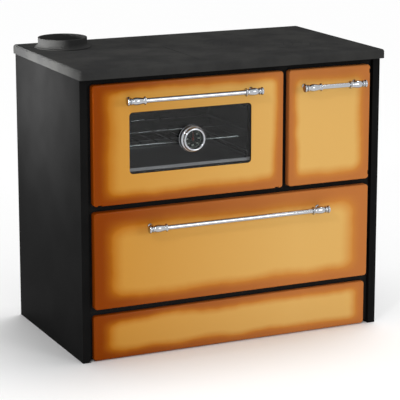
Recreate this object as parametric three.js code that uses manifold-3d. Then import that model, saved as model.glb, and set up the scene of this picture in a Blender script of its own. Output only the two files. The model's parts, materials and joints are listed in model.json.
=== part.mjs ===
// A wood-fired cookstove: a black sheet-metal body under a cast hob, an enamelled oven door,
// fire door, wood drawer and plinth, and the oven, firebox and smoke jacket inside.
// Millimetres. X runs along the front, Y from front to rear, Z up. Pieces are placed with
// X = 0 in the middle of the body and Y = 0 at the front of its posts; the finished group is
// then moved so that its origin is in the middle of the space that the stove stands on.
import * as THREE from 'three';
import { mergeVertices } from 'three/addons/utils/BufferGeometryUtils.js';
import Module from 'manifold-3d';

const wasm = await Module();
wasm.setup();

// ---------------------------------------------------------------- driving dimensions
const fit = 0.3; // gap between pieces that seat on each other

// body
const bodyWidth = 960;
const bodyDepth = 533;
const panelSheet = 3;
const postWidth = 23;
const rearReturn = 25;
const footFlange = 25;
const rearFieldInset = 60;
const rearFieldRise = 5;

// hob
const hobHeight = 850;
const hobThickness = 27;
const hobSideOverhang = 6;
const hobFrontOverhang = 21.5;
const hobRearOverhang = 8;
const hobCorner = 10;
const hobEdgeRound = 8;
const hobWeb = 16;
const hobPlate = 9;
const plateLedge = 8;
const plateCorner = 7;
const plateBevel = 1.2;
const leftPlateWidth = 339;
const leftPlateDepth = 259;
const rightPlateDepth = 394;
const plateInsetLeft = 48;
const plateInsetRight = 62;
const plateInsetFront = 41;

// hob rings
const ringWidth = 27;
const discRadius = 54;
const ringCount = 4;
const ringLedge = 6;
const ringChamfer = 0.9;
const ringFromPlateRight = 228;

// flue collar
const collarBore = 134;
const collarWall = 6.5;
const collarHeight = 30;
const collarFlange = 170;
const collarFlangeEdge = 2;
const collarFlareHeight = 9.6;
const collarLip = 1.5;
const collarFromLeft = 112;
const collarFromFront = 425;

// enamel fronts
const frontProud = 13;
const frontDepth = 22;
const frontSheet = 2;
const frontCorner = 9;
const frontRoll = 5;
const frontGapLeft = 11;
const frontGapRight = 16;
const frontGapDoors = 19;
const fireDoorWidth = 271;
const doorHeight = 347;
const plinthHeight = 134;
const plinthClearance = 2;
const railUnderDrawer = 21;
const railUnderDoors = 18;
const gapOverDoors = 17;

// front frame
const frameSetBack = 14;
const frameSheet = 4;
const frameFloorGap = 5;
const mouthCorner = 5;

// oven
const ovenHeight = 280;
const ovenDepth = 370;
const ovenSheet = 3;
const ovenFlange = 15;
const ovenFromDoorLeft = 86;
const ovenFromDoorRight = 51;
const ovenAboveDoorFoot = 31;
const ledgeReach = 10;
const ledgeThick = 6;
const trayLedgeHeight = 58;
const rackLedgeHeight = 122.5;
const spareLedgeHeight = 190;
const ledgeSetBack = 22;

// oven rack and tray
const rackClearance = 3;
const rackRod = 6;
const rackWire = 4;
const rackPitch = 50;
const rackSetBack = 10;
const trayDepth = 27;
const trayRim = 5;
const traySheet = 2;
const trayTaper = 5;

// oven door
const windowHeight = 177;
const windowFromLeft = 110;
const windowFromRight = 104;
const windowFromFoot = 85;
const windowCorner = 11;
const glassThick = 4;
const glassLap = 12;
const linerThick = 6;
const linerWindowInset = 6;
const linerWindowLift = 12;
const sealThick = 8;
const sealLap = 20;
const sealFoot = 4;

// hinges: axis above the oven door's foot, and in from the fire door's right edge
const hingeInset = 12;
const hingeBehindFace = 9;
const hingeArm = 9;
const hingeLength = 10;
const hingePin = 5;
const hingeFromEnd = 14;
const hingeClearance = 1.5;

// oven thermometer
const gaugeBase = 79;
const gaugeRim = 66;
const gaugeBore = 58;
const gaugeLip = 2.5;
const gaugeProud = 27;
const gaugeDrum = 11;
const gaugeShoulder = 23;
const gaugeBaseEdge = 2;
const gaugeLensSet = 4;
const gaugeFloor = 8;
const gaugeStem = 9;
const gaugeStemReach = 20;
const dialThick = 2;
const lensThick = 2;
const needleLength = 21;
const needleTail = 7;
const needleWidth = 2.8;
const needleTip = 1;
const needleThick = 1.5;
const needleHub = 6;
const needleHubReach = 1;

// handles
const handleStandOff = 38;
const handleBar = 14;
const handleEnd = 57;
const handleEndRadius = 12;
const handleBarSeat = 10;
const handlePost = 10;
const handlePostFromTip = 20;
const handleFoot = 15;
const handleFootFlare = 5;
const ovenHandleFromEdges = 87;
const ovenHandleHeight = 301;
const fireHandleFromLeft = 28;
const fireHandleFromRight = 36;
const fireHandleHeight = 298;
const drawerHandleFromLeft = 151;
const drawerHandleFromRight = 154;
const drawerHandleBelowTop = 53;

// deck, jacket and insulation
const deckSheet = 3;
const deckBelowDoors = 10;
const deckFlange = 20;
const jacketSheet = 2;
const jacketGapLeft = 75;
const jacketGapRear = 107;
const baffleWidth = 40;
const baffleSheet = 2;

// firebox
const casingInFromDoor = 1.5;
const casingWall = 6;
const casingDepth = 436;
const casingTopGap = 34;
const brickThick = 25;
const brickBevel = 2;
const brickTopGap = 10;
const grateHeight = 107;
const grateThick = 12;
const grateLedge = 36;
const grateSlotWidth = 9;
const grateSlotPitch = 22;
const grateSlotRows = 2;
const ashShoulder = 12;
const ashPanHeight = 53;
const ashPanSheet = 1.5;
const ashPanGap = 2;
const ashLipWidth = 60;
const ashLipReach = 9;
const ashLipThick = 3;
const ashLipBelowRim = 5;
const ashLipCorner = 4;
const fireMouthInFromDoor = 32.5;
const fireMouthFoot = 116;
const fireMouthHeight = 208;
const ashMouthFoot = 24;
const ashMouthHeight = 65;
const fireSealGap = 6;

// air slide
const airSlotWidth = 14;
const airSlotHeight = 15;
const airSlotPitch = 26;
const airTravel = 12;
const airPlate = 2.5;
const airPlateHeight = 21;
const airTabWidth = 5;
const airTabReach = 7;
const airTabPlay = 1;

// drawer
const boxInset = 21;
const boxSheet = 2;
const boxDepth = 461;
const boxAboveFoot = 14;
const boxBelowTop = 48;
const drawerMouthInset = 9;
const drawerMouthFoot = 8;
const slideReach = 7;
const slideHeight = 13;
const slideAboveFloor = 45;
const runnerSheet = 2;
const runnerFoot = 18;
const runnerSetBack = 4;
const runnerLip = 1.5;
const slideSetBack = 12;
const floorSheet = 3;

// roundness of the mesh
const ringSides = 36;
const turnedSides = 12;
const pinSides = 16;
const cornerSteps = 2;
const rollSteps = 3;

// ---------------------------------------------------------------- shape tools
// A closed mesh turned into a solid, with its faces pointing out.
function solidOf(geometry) {
  geometry.deleteAttribute('normal');
  geometry.deleteAttribute('uv');
  const merged = mergeVertices(geometry, 1e-4);
  const p = merged.attributes.position;
  const corners = merged.index.array;
  const faces = [];
  let volume = 0;
  const a = new THREE.Vector3();
  const b = new THREE.Vector3();
  const c = new THREE.Vector3();
  for (let i = 0; i < corners.length; i += 3) {
    const [ia, ib, ic] = [corners[i], corners[i + 1], corners[i + 2]];
    if (ia === ib || ib === ic || ic === ia) continue;
    faces.push([ia, ib, ic]);
    a.fromBufferAttribute(p, ia);
    b.fromBufferAttribute(p, ib);
    c.fromBufferAttribute(p, ic);
    volume += a.dot(b.cross(c));
  }
  const outward = volume > 0 ? faces : faces.map(([ia, ib, ic]) => [ia, ic, ib]);
  const mesh = new wasm.Mesh({
    numProp: 3,
    vertProperties: new Float32Array(p.array),
    triVerts: new Uint32Array(outward.flat()),
  });
  return new wasm.Manifold(mesh);
}

const join = (...solids) => solids.reduce((whole, next) => whole.add(next));
const cut = (solid, ...tools) => tools.reduce((left, tool) => left.subtract(tool), solid);

// A block between two limits on each axis.
function block([x0, x1], [y0, y1], [z0, z1]) {
  const box = new THREE.BoxGeometry(x1 - x0, y1 - y0, z1 - z0);
  box.translate((x0 + x1) / 2, (y0 + y1) / 2, (z0 + z1) / 2);
  return solidOf(box);
}

// Turns a shape's own plane and depth into the object's axes, for the axis it runs along.
const along = {
  x: new THREE.Matrix4().set(0, 0, 1, 0, 1, 0, 0, 0, 0, 1, 0, 0, 0, 0, 0, 1),
  y: new THREE.Matrix4().set(1, 0, 0, 0, 0, 0, 1, 0, 0, 1, 0, 0, 0, 0, 0, 1),
  z: new THREE.Matrix4(),
};

// A flat outline run along an axis: XY for z, XZ for y, YZ for x.
function prism(outline, axis, [from, to], bevel = 0) {
  const geometry = new THREE.ExtrudeGeometry(outline, {
    depth: to - from - 2 * bevel,
    bevelEnabled: bevel > 0,
    bevelSize: bevel,
    bevelThickness: bevel,
    bevelOffset: -bevel,
    bevelSegments: 1,
    curveSegments: cornerSteps,
  });
  geometry.translate(0, 0, from + bevel);
  return solidOf(geometry.applyMatrix4(along[axis]));
}

function outline(...points) {
  return new THREE.Shape(points.map(([u, v]) => new THREE.Vector2(u, v)));
}

function roundedRect([u0, u1], [v0, v1], r) {
  const shape = new THREE.Shape();
  shape.absarc(u1 - r, v1 - r, r, 0, Math.PI / 2);
  shape.absarc(u0 + r, v1 - r, r, Math.PI / 2, Math.PI);
  shape.absarc(u0 + r, v0 + r, r, Math.PI, 1.5 * Math.PI);
  shape.absarc(u1 - r, v0 + r, r, 1.5 * Math.PI, 2 * Math.PI);
  shape.closePath();
  return shape;
}

// A round piece turned about an axis through `at`; the profile is [radius, distance along].
const turnAbout = {
  x: new THREE.Matrix4().set(0, 1, 0, 0, 0, 0, 1, 0, 1, 0, 0, 0, 0, 0, 0, 1),
  y: new THREE.Matrix4(),
  z: new THREE.Matrix4().makeRotationX(Math.PI / 2),
};

function turned(profile, axis, [x, y, z], sides = turnedSides) {
  const points = profile.map(([radius, height]) => new THREE.Vector2(radius, height));
  const geometry = new THREE.LatheGeometry(points, sides);
  geometry.applyMatrix4(turnAbout[axis]);
  geometry.translate(x, y, z);
  return solidOf(geometry);
}

const rod = (radius, axis, [from, to], at, sides = 6) =>
  turned([[0, from], [radius, from], [radius, to], [0, to]], axis, at, sides);

// One loop of a rounded rectangle, drawn in by `inset`, at a distance along its axis.
function loop([u0, u1], [v0, v1], r, inset, depth, axis) {
  const shape = roundedRect([u0 + inset, u1 - inset], [v0 + inset, v1 - inset], Math.max(r - inset, 0.5));
  const points = shape.extractPoints(cornerSteps).shape;
  return points.map(({ x, y }) => new THREE.Vector3(x, y, depth).applyMatrix4(along[axis]));
}

// A closed skin over a row of loops, capped at both ends.
function skin(loops) {
  const count = loops[0].length;
  const faces = [];
  for (let row = 0; row + 1 < loops.length; row += 1) {
    for (let i = 0; i < count; i += 1) {
      const j = (i + 1) % count;
      const [a, b] = [row * count + i, row * count + j];
      faces.push(a, b, b + count, a, b + count, a + count);
    }
  }
  const last = (loops.length - 1) * count;
  for (let i = 1; i + 1 < count; i += 1) {
    faces.push(0, i + 1, i, last, last + i, last + i + 1);
  }
  const geometry = new THREE.BufferGeometry().setFromPoints(loops.flat());
  geometry.setIndex(faces);
  return solidOf(geometry);
}

const rollAngles = Array.from({ length: rollSteps + 1 }, (_, i) => (i / rollSteps) * (Math.PI / 2));

// A pressed enamel front: a flat face with rolled edges and sides that turn back.
function enamelFront(xs, zs, face, depth) {
  const inner = frontRoll - frontSheet;
  const inside = rollAngles.map((a) => loop(xs, zs, frontCorner, frontSheet + inner * (1 - Math.cos(a)),
    face + frontSheet + inner * (1 - Math.sin(a)), 'y')).reverse();
  const outside = rollAngles.map((a) => loop(xs, zs, frontCorner, frontRoll * (1 - Math.cos(a)),
    face + frontRoll * (1 - Math.sin(a)), 'y'));
  const rear = face + depth;
  return skin([
    ...inside,
    loop(xs, zs, frontCorner, frontSheet, rear, 'y'),
    loop(xs, zs, frontCorner, 0, rear, 'y'),
    ...outside,
  ]);
}

const finishes = {
  blackPaint: [0x2a2b2c, 0.55, 0.2],
  castIron: [0x37383a, 0.75, 0.4],
  enamel: [0xd18a3a, 0.25, 0.0],
  chrome: [0xd9dadb, 0.12, 1.0],
  darkGlass: [0x2b2e30, 0.08, 0.0],
  clearGlass: [0xcfd6d4, 0.05, 0.0],
  steel: [0x8c8f91, 0.4, 0.9],
  ovenEnamel: [0x1d1e20, 0.35, 0.1],
  firebrick: [0xc9b48e, 0.95, 0.0],
  rope: [0xb9b4a6, 1.0, 0.0],
  wool: [0xc8bf9a, 1.0, 0.0],
  dial: [0x121314, 0.5, 0.0],
  needle: [0xc4452b, 0.4, 0.0],
};

const stove = new THREE.Group();

function piece(name, solid, finish, group) {
  const { vertProperties, triVerts } = solid.getMesh();
  const geometry = new THREE.BufferGeometry();
  geometry.setAttribute('position', new THREE.BufferAttribute(vertProperties, 3));
  geometry.setIndex(new THREE.BufferAttribute(triVerts, 1));
  geometry.computeVertexNormals();
  const [color, roughness, metalness] = finishes[finish];
  const mesh = new THREE.Mesh(geometry, new THREE.MeshStandardMaterial({ color, roughness, metalness }));
  mesh.name = name;
  group.add(mesh);
}

function assembly() {
  const group = new THREE.Group();
  stove.add(group);
  return group;
}

// ---------------------------------------------------------------- places worked out
const bodyLeft = -bodyWidth / 2;
const bodyRight = bodyWidth / 2;
const innerLeft = bodyLeft + panelSheet;
const innerRight = bodyRight - panelSheet;
const hobFoot = hobHeight - hobThickness;
const webFoot = hobHeight - hobWeb;
const hobSkirt = hobSideOverhang + panelSheet;
const plateSeat = hobHeight - hobPlate;

const frontFace = -frontProud;
const frontRear = frontFace + frontDepth;
const fireDoorRight = bodyRight - postWidth - frontGapRight;
const fireDoorX = [fireDoorRight - fireDoorWidth, fireDoorRight];
const ovenDoorX = [bodyLeft + postWidth + frontGapLeft, fireDoorX[0] - frontGapDoors];
const drawerX = [ovenDoorX[0], fireDoorX[1]];
const plinthZ = [plinthClearance, plinthClearance + plinthHeight];
const doorTop = hobFoot - gapOverDoors;
const doorZ = [doorTop - doorHeight, doorTop];
const drawerZ = [plinthZ[1] + railUnderDrawer, doorZ[0] - railUnderDoors];

const frameRear = frameSetBack + frameSheet;
const behindFrame = frameRear + fit;
const rearPanelFront = bodyDepth - panelSheet - fit - panelSheet;

const ovenX = [ovenDoorX[0] + ovenFromDoorLeft, ovenDoorX[1] - ovenFromDoorRight];
const ovenZ = [doorZ[0] + ovenAboveDoorFoot, doorZ[0] + ovenAboveDoorFoot + ovenHeight];
const ovenRear = behindFrame + ovenDepth;
const ovenMiddle = (ovenX[0] + ovenX[1]) / 2;

const fireMiddle = (fireDoorX[0] + fireDoorX[1]) / 2;
const around = (middle, width) => [middle - width / 2, middle + width / 2];
const grow = ([from, to], by) => [from - by, to + by];
const fireMouthX = grow(fireDoorX, -fireMouthInFromDoor);
const fireMouthZ = [doorZ[0] + fireMouthFoot, doorZ[0] + fireMouthFoot + fireMouthHeight];
const ashMouthZ = [doorZ[0] + ashMouthFoot, doorZ[0] + ashMouthFoot + ashMouthHeight];

const deckTop = doorZ[0] - deckBelowDoors;
const deckZ = [deckTop - deckSheet, deckTop];
const onDeck = deckTop + fit;

const hingeY = frontFace + hingeBehindFace;
const ovenHingeZ = doorZ[0] + hingeInset;
const fireHingeX = fireDoorX[1] - hingeInset;
const ovenHinges = [ovenDoorX[0] + hingeFromEnd, ovenDoorX[1] - hingeFromEnd - hingeLength]
  .map((x) => [x, x + hingeLength]);
const fireHinges = [doorZ[0] + hingeFromEnd, doorZ[1] - hingeFromEnd - hingeLength]
  .map((z) => [z, z + hingeLength]);
const ovenPin = (run, play = 0) => rod(hingePin / 2 + play, 'x', run, [0, hingeY, ovenHingeZ], pinSides);
const firePin = (run, play = 0) => rod(hingePin / 2 + play, 'z', run, [fireHingeX, hingeY, 0], pinSides);

// ---------------------------------------------------------------- body
const body = assembly();

// A side panel is one bent sheet: the wall, the post with its lip, the rear return and a foot.
function sidePanel(wall, inward) {
  const post = wall + inward * postWidth;
  const section = outline(
    [wall, 0],
    [post, 0],
    [post, frameRear],
    [post - inward * panelSheet, frameRear],
    [post - inward * panelSheet, panelSheet],
    [wall + inward * panelSheet, panelSheet],
    [wall + inward * panelSheet, bodyDepth - panelSheet],
    [wall + inward * rearReturn, bodyDepth - panelSheet],
    [wall + inward * rearReturn, bodyDepth],
    [wall, bodyDepth],
  );
  const foot = [wall, wall + inward * footFlange].sort((a, b) => a - b);
  return join(prism(section, 'z', [0, hobFoot - fit]), block(foot, [0, bodyDepth], [0, panelSheet]));
}
piece('left_side_panel', sidePanel(bodyLeft, 1), 'blackPaint', body);
piece('right_side_panel', sidePanel(bodyRight, -1), 'blackPaint', body);

// The rear panel has one broad pressed field, which keeps the sheet stiff.
const rearX = [innerLeft + fit, innerRight - fit];
const rearZ = [panelSheet + fit, webFoot - fit];
const field = [0, 1].map((step) => loop(rearX, rearZ, rearFieldInset + 2 * hobCorner,
  rearFieldInset + step * rearFieldRise, rearPanelFront + step * (panelSheet + rearFieldRise), 'y'));
piece('rear_panel', join(block(rearX, [rearPanelFront, rearPanelFront + panelSheet], rearZ), skin(field)),
  'blackPaint', body);

// Trays across the body: the floor under the drawer turns up, the deck over it turns down.
function crossTray([z0, z1], turn) {
  const edge = turn > 0 ? z1 : z0;
  const lip = [edge, edge + turn * deckFlange].sort((a, b) => a - b);
  const depth = [behindFrame, rearPanelFront - fit];
  const sheet = z1 - z0;
  return join(
    block([innerLeft + fit, innerRight - fit], depth, [z0, z1]),
    block([innerLeft + fit, innerLeft + fit + sheet], depth, grow(lip, sheet / 2)),
    block([innerRight - fit - sheet, innerRight - fit], depth, grow(lip, sheet / 2)),
  );
}
const floorZ = [plinthZ[1] + floorSheet, plinthZ[1] + 2 * floorSheet];
piece('cabinet_floor', crossTray(floorZ, 1), 'blackPaint', body);
piece('inner_deck', crossTray(deckZ, -1), 'steel', body);

// The front frame is one plate with the four mouths, the air slots and the hinge arms.
const frameX = [bodyLeft + postWidth + fit, bodyRight - postWidth - fit];
const framePlateY = [frameSetBack, frameRear];
const throughFrame = grow(framePlateY, 1);
const drawerMouthX = grow(drawerX, -drawerMouthInset);
const drawerMouthZ = [drawerZ[0] + drawerMouthFoot, drawerZ[1] - drawerMouthInset];
const airZ = around((ashMouthZ[1] + fireMouthZ[0]) / 2, airSlotHeight);
const airSlotRun = fireMouthX[1] - fireMouthX[0] - airSlotWidth - airSlotPitch - airTabWidth - airTravel;
const airSlotCount = 1 + Math.floor(airSlotRun / airSlotPitch);
const airSlots = Array.from({ length: airSlotCount }, (_, i) => fireMouthX[0] + fit + i * airSlotPitch)
  .map((x) => [x, x + airSlotWidth]);
const airTabX = airSlots[airSlotCount - 1][1] + airSlotPitch;
const airTabSlot = [airTabX - airTabPlay, airTabX + airTabWidth + airTravel + airTabPlay];

const mouth = (xs, zs) => prism(roundedRect(xs, zs, mouthCorner), 'y', throughFrame);
const hingeArmSolids = [
  ...ovenHinges.map((xs) => cut(
    block(xs, [hingeY - hingeArm / 2, frameSetBack + 1], around(ovenHingeZ, hingeArm)),
    ovenPin(grow(xs, 1), fit),
  )),
  ...fireHinges.map((zs) => cut(
    block(around(fireHingeX, hingeArm), [hingeY - hingeArm / 2, frameSetBack + 1], zs),
    firePin(grow(zs, 1), fit),
  )),
];
piece('front_frame', join(
  cut(
    block(frameX, framePlateY, [frameFloorGap, webFoot - fit]),
    mouth(ovenX, ovenZ),
    mouth(fireMouthX, fireMouthZ),
    mouth(fireMouthX, ashMouthZ),
    mouth(drawerMouthX, drawerMouthZ),
    ...airSlots.map((xs) => block(xs, throughFrame, airZ)),
    block(airTabSlot, throughFrame, airZ),
  ),
  ...hingeArmSolids,
), 'castIron', body);

piece('plinth', enamelFront(drawerX, plinthZ, 0, frameSetBack - fit), 'enamel', body);

// ---------------------------------------------------------------- hob
const hobX = [bodyLeft - hobSideOverhang, bodyRight + hobSideOverhang];
const hobY = [-hobFrontOverhang, bodyDepth + hobRearOverhang];
const plateFront = plateInsetFront;
const leftPlateX = [bodyLeft + plateInsetLeft, bodyLeft + plateInsetLeft + leftPlateWidth];
const leftPlateY = [plateFront, plateFront + leftPlateDepth];
const rightPlateX = [leftPlateX[1], bodyRight - plateInsetRight];
const rightPlateY = [plateFront, plateFront + rightPlateDepth];
const collarAt = [bodyLeft + collarFromLeft, collarFromFront];
const ringAt = [rightPlateX[1] - ringFromPlateRight, (rightPlateY[0] + rightPlateY[1]) / 2];

const hobOutside = skin([
  loop(hobX, hobY, hobCorner, 0, hobFoot, 'z'),
  ...rollAngles.map((a) => loop(hobX, hobY, hobCorner, hobEdgeRound * (1 - Math.cos(a)),
    hobHeight - hobEdgeRound * (1 - Math.sin(a)), 'z')),
]);
const pocket = (xs, ys) => join(
  prism(roundedRect(xs, ys, plateCorner), 'z', [plateSeat, hobHeight + 1]),
  block(grow(xs, -plateLedge), grow(ys, -plateLedge), [webFoot - 1, plateSeat + 1]),
);
piece('hob_frame', cut(
  hobOutside,
  block(grow(hobX, -hobSkirt), grow(hobY, -hobSkirt), [hobFoot - 1, webFoot]),
  pocket(leftPlateX, leftPlateY),
  pocket(rightPlateX, rightPlateY),
  rod(collarBore / 2, 'z', [webFoot - 1, hobHeight + 1], [...collarAt, 0], ringSides),
), 'castIron', assembly());

const hob = assembly();
const platePrism = (xs, ys) =>
  prism(roundedRect(grow(xs, -fit), grow(ys, -fit), plateCorner - fit), 'z',
    [plateSeat + fit, hobHeight], plateBevel);
piece('left_hob_plate', platePrism(leftPlateX, leftPlateY), 'castIron', hob);

// Every ring rests on a step inside the next one out, so its section is a Z:
// its upper half reaches out over the step, and its own step carries the next one in.
const ringSeam = (i) => discRadius + i * ringWidth;
const stepHeight = hobHeight - hobPlate / 2;
const ringFoot = plateSeat + fit;
const outerStep = ringSeam(ringCount);
piece('right_hob_plate', cut(
  platePrism(rightPlateX, rightPlateY),
  turned([
    [0, plateSeat - 1],
    [outerStep - ringLedge, plateSeat - 1],
    [outerStep - ringLedge, stepHeight],
    [outerStep, stepHeight],
    [outerStep, hobHeight + 1],
    [0, hobHeight + 1],
  ], 'z', [...ringAt, 0], ringSides),
), 'castIron', hob);

function hobRing(i) {
  const [inner, outer] = [ringSeam(i - 1), ringSeam(i) - fit];
  return turned([
    [inner - ringLedge, ringFoot],
    [outer - ringLedge, ringFoot],
    [outer - ringLedge, stepHeight + fit],
    [outer, stepHeight + fit],
    [outer, hobHeight - ringChamfer],
    [outer - ringChamfer, hobHeight],
    [inner, hobHeight],
    [inner, stepHeight],
    [inner - ringLedge, stepHeight],
    [inner - ringLedge, ringFoot],
  ], 'z', [...ringAt, 0], ringSides);
}
for (let i = ringCount; i > 0; i -= 1) {
  piece(`hob_ring_${i}`, hobRing(i), 'castIron', assembly());
}
const discEdge = discRadius - fit;
piece('hob_disc', turned([
  [0, ringFoot],
  [discEdge - ringLedge, ringFoot],
  [discEdge - ringLedge, stepHeight + fit],
  [discEdge, stepHeight + fit],
  [discEdge, hobHeight - ringChamfer],
  [discEdge - ringChamfer, hobHeight],
  [0, hobHeight],
], 'z', [...ringAt, 0], ringSides), 'castIron', assembly());

// The flue collar: a straight spigot that flares to a flange on the hob.
const collarFoot = hobHeight + fit;
const collarTop = hobHeight + collarHeight;
const collarOuter = collarBore / 2 + collarWall;
const flareRadius = collarFlange / 2 - collarOuter;
const flare = rollAngles.slice(1).map((a) => [
  collarFlange / 2 - flareRadius * Math.sin(a),
  collarFoot + collarFlangeEdge + collarFlareHeight * (1 - Math.cos(a)),
]);
piece('flue_collar', turned([
  [collarBore / 2, collarFoot],
  [collarFlange / 2, collarFoot],
  [collarFlange / 2, collarFoot + collarFlangeEdge],
  ...flare,
  [collarOuter, collarTop - collarLip],
  [collarOuter - collarLip, collarTop],
  [collarBore / 2 + collarLip, collarTop],
  [collarBore / 2, collarTop - collarLip],
  [collarBore / 2, collarFoot],
], 'z', [...collarAt, 0], ringSides), 'castIron', hob);

// ---------------------------------------------------------------- smoke jacket and oven
const inside = assembly();
const casingX = grow(fireDoorX, -casingInFromDoor);
const jacketLeft = ovenX[0] - ovenSheet - jacketGapLeft;
const jacketRight = casingX[1] + fit;
const jacketRear = ovenRear + jacketGapRear;
const wrap = ([x0, x1], rear, thick) => outline(
  [x0 - thick[0], behindFrame],
  [x0, behindFrame],
  [x0, rear],
  [x1, rear],
  [x1, behindFrame],
  [x1 + thick[1], behindFrame],
  [x1 + thick[1], rear + thick[2]],
  [x0 - thick[0], rear + thick[2]],
);
piece('smoke_jacket', prism(
  wrap([jacketLeft, jacketRight], jacketRear, [jacketSheet, jacketSheet, jacketSheet]),
  'z', [onDeck, webFoot - fit],
), 'steel', inside);

const woolLeft = jacketLeft - jacketSheet - fit;
const woolRight = jacketRight + jacketSheet + fit;
const woolRear = jacketRear + jacketSheet + fit;
piece('insulation_wrap', prism(
  wrap([woolLeft, woolRight], woolRear,
    [woolLeft - innerLeft - fit, innerRight - fit - woolRight, rearPanelFront - fit - woolRear]),
  'z', [onDeck, hobFoot - fit],
), 'wool', inside);

const ovenOuterX = grow(ovenX, ovenSheet);
const ovenOuterZ = grow(ovenZ, ovenSheet);
const ledgeY = [behindFrame + ledgeSetBack, ovenRear];
const ledges = [trayLedgeHeight, rackLedgeHeight, spareLedgeHeight].flatMap((height) => {
  const zs = [ovenZ[0] + height - ledgeThick, ovenZ[0] + height];
  return [
    block([ovenX[0] - 1, ovenX[0] + ledgeReach], ledgeY, zs),
    block([ovenX[1] - ledgeReach, ovenX[1] + 1], ledgeY, zs),
  ];
});
piece('oven_box', join(
  cut(
    join(
      prism(roundedRect(ovenOuterX, ovenOuterZ, mouthCorner), 'y', [behindFrame, ovenRear + ovenSheet]),
      block(grow(ovenX, ovenFlange), [behindFrame, behindFrame + ovenSheet], grow(ovenZ, ovenFlange)),
    ),
    block(ovenX, [behindFrame - 1, ovenRear], ovenZ),
  ),
  ...ledges,
), 'ovenEnamel', inside);

const baffleX = around(ovenMiddle, baffleWidth);
piece('oven_baffle', prism(outline(
  [baffleX[0], onDeck],
  [baffleX[0] + baffleSheet, onDeck],
  [baffleX[0] + baffleSheet, ovenOuterZ[0] - fit - baffleSheet],
  [baffleX[1] - baffleSheet, ovenOuterZ[0] - fit - baffleSheet],
  [baffleX[1] - baffleSheet, onDeck],
  [baffleX[1], onDeck],
  [baffleX[1], ovenOuterZ[0] - fit],
  [baffleX[0], ovenOuterZ[0] - fit],
), 'y', [behindFrame + ovenFlange, ovenRear]), 'steel', inside);

// The rack: a rod frame with wires laid over its front and rear rods.
const rackY = [behindFrame + rackSetBack + rackRod, ovenRear - rackSetBack];
const rackX = grow(ovenX, -rackClearance - rackRod / 2);
const rackZ = ovenZ[0] + rackLedgeHeight + fit + rackRod / 2;
const wireZ = rackZ + (rackRod + rackWire) / 2 - 1;
const wireCount = Math.floor((rackX[1] - rackX[0] - rackRod) / rackPitch / 2);
const wires = Array.from({ length: 2 * wireCount + 1 }, (_, i) => ovenMiddle + (i - wireCount) * rackPitch);
piece('oven_rack', join(
  ...[rackY[0], rackY[1], (rackY[0] + rackY[1]) / 2].map((y) =>
    rod(rackRod / 2, 'x', grow(rackX, rackRod / 2), [0, y, rackZ])),
  ...rackX.map((x) => rod(rackRod / 2, 'y', grow(rackY, rackRod / 2), [x, 0, rackZ])),
  ...wires.map((x) => rod(rackWire / 2, 'y', grow(rackY, rackRod / 2), [x, 0, wireZ])),
), 'chrome', inside);

// The tray hangs on its rim from the lowest pair of ledges.
const trayRimX = grow(ovenX, -rackClearance);
const trayRimY = [behindFrame + rackSetBack, ovenRear - rackSetBack];
const trayTop = ovenZ[0] + trayLedgeHeight + fit + trayRim;
const trayBody = ledgeReach;
const trayLoop = (inset, z) => loop(trayRimX, trayRimY, 4 * trayBody, inset, z, 'z');
piece('oven_tray', skin([
  trayLoop(trayBody + traySheet + trayTaper, trayTop - trayDepth + traySheet),
  trayLoop(trayBody + traySheet, trayTop - trayRim / 2),
  trayLoop(trayBody - traySheet, trayTop),
  trayLoop(traySheet, trayTop),
  trayLoop(0, trayTop - trayRim / 2),
  trayLoop(traySheet, trayTop - trayRim),
  trayLoop(trayBody, trayTop - trayRim),
  trayLoop(trayBody + trayTaper, trayTop - trayDepth),
]), 'steel', inside);

// ---------------------------------------------------------------- firebox
const fire = assembly();
const casingRear = behindFrame + casingDepth;
const casingTop = webFoot - casingTopGap;
const grateSeat = onDeck + grateHeight;
const ashFloor = doorZ[0] + ashMouthFoot - 1;
const fireX = grow(casingX, -casingWall);
const ashX = grow(casingX, -grateLedge);
const airPlateZ = around((airZ[0] + airZ[1]) / 2, airPlateHeight);
const airPlateX = [airSlots[0][0] - airSlotWidth / 2, airTabX + airTabWidth + airSlotWidth / 2];
const airPocketY = airPlate + 2 * fit;
piece('firebox_casing', cut(
  block(casingX, [behindFrame, casingRear], [onDeck, casingTop]),
  block(fireX, [behindFrame - 1, casingRear - casingWall], [grateSeat, casingTop + 1]),
  block(ashX, [behindFrame - 1, casingRear - grateLedge], [ashFloor, grateSeat + 1]),
  block(grow(ashX, -ashShoulder), [behindFrame - 1, casingRear - grateLedge],
    [onDeck + casingWall, ashFloor + 1]),
  block([airPlateX[0] - fit, airPlateX[1] + airTravel + fit], [behindFrame - 1, behindFrame + airPocketY],
    grow(airPlateZ, fit)),
), 'castIron', fire);

const brickFront = behindFrame + airPocketY + 1;
const brickZ = [grateSeat + fit, casingTop - brickTopGap];
const rearBrickY = [casingRear - casingWall - fit - brickThick, casingRear - casingWall - fit];
const sideBrickY = [brickFront, rearBrickY[0] - fit];
const brick = (xs, ys) => prism(outline(
  [xs[0], ys[0]], [xs[1], ys[0]], [xs[1], ys[1]], [xs[0], ys[1]],
), 'z', brickZ, brickBevel);
piece('left_firebrick', brick([fireX[0] + fit, fireX[0] + fit + brickThick], sideBrickY), 'firebrick', fire);
piece('right_firebrick', brick([fireX[1] - fit - brickThick, fireX[1] - fit], sideBrickY), 'firebrick', fire);
piece('rear_firebrick', brick(grow(fireX, -fit), rearBrickY), 'firebrick', fire);

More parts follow.
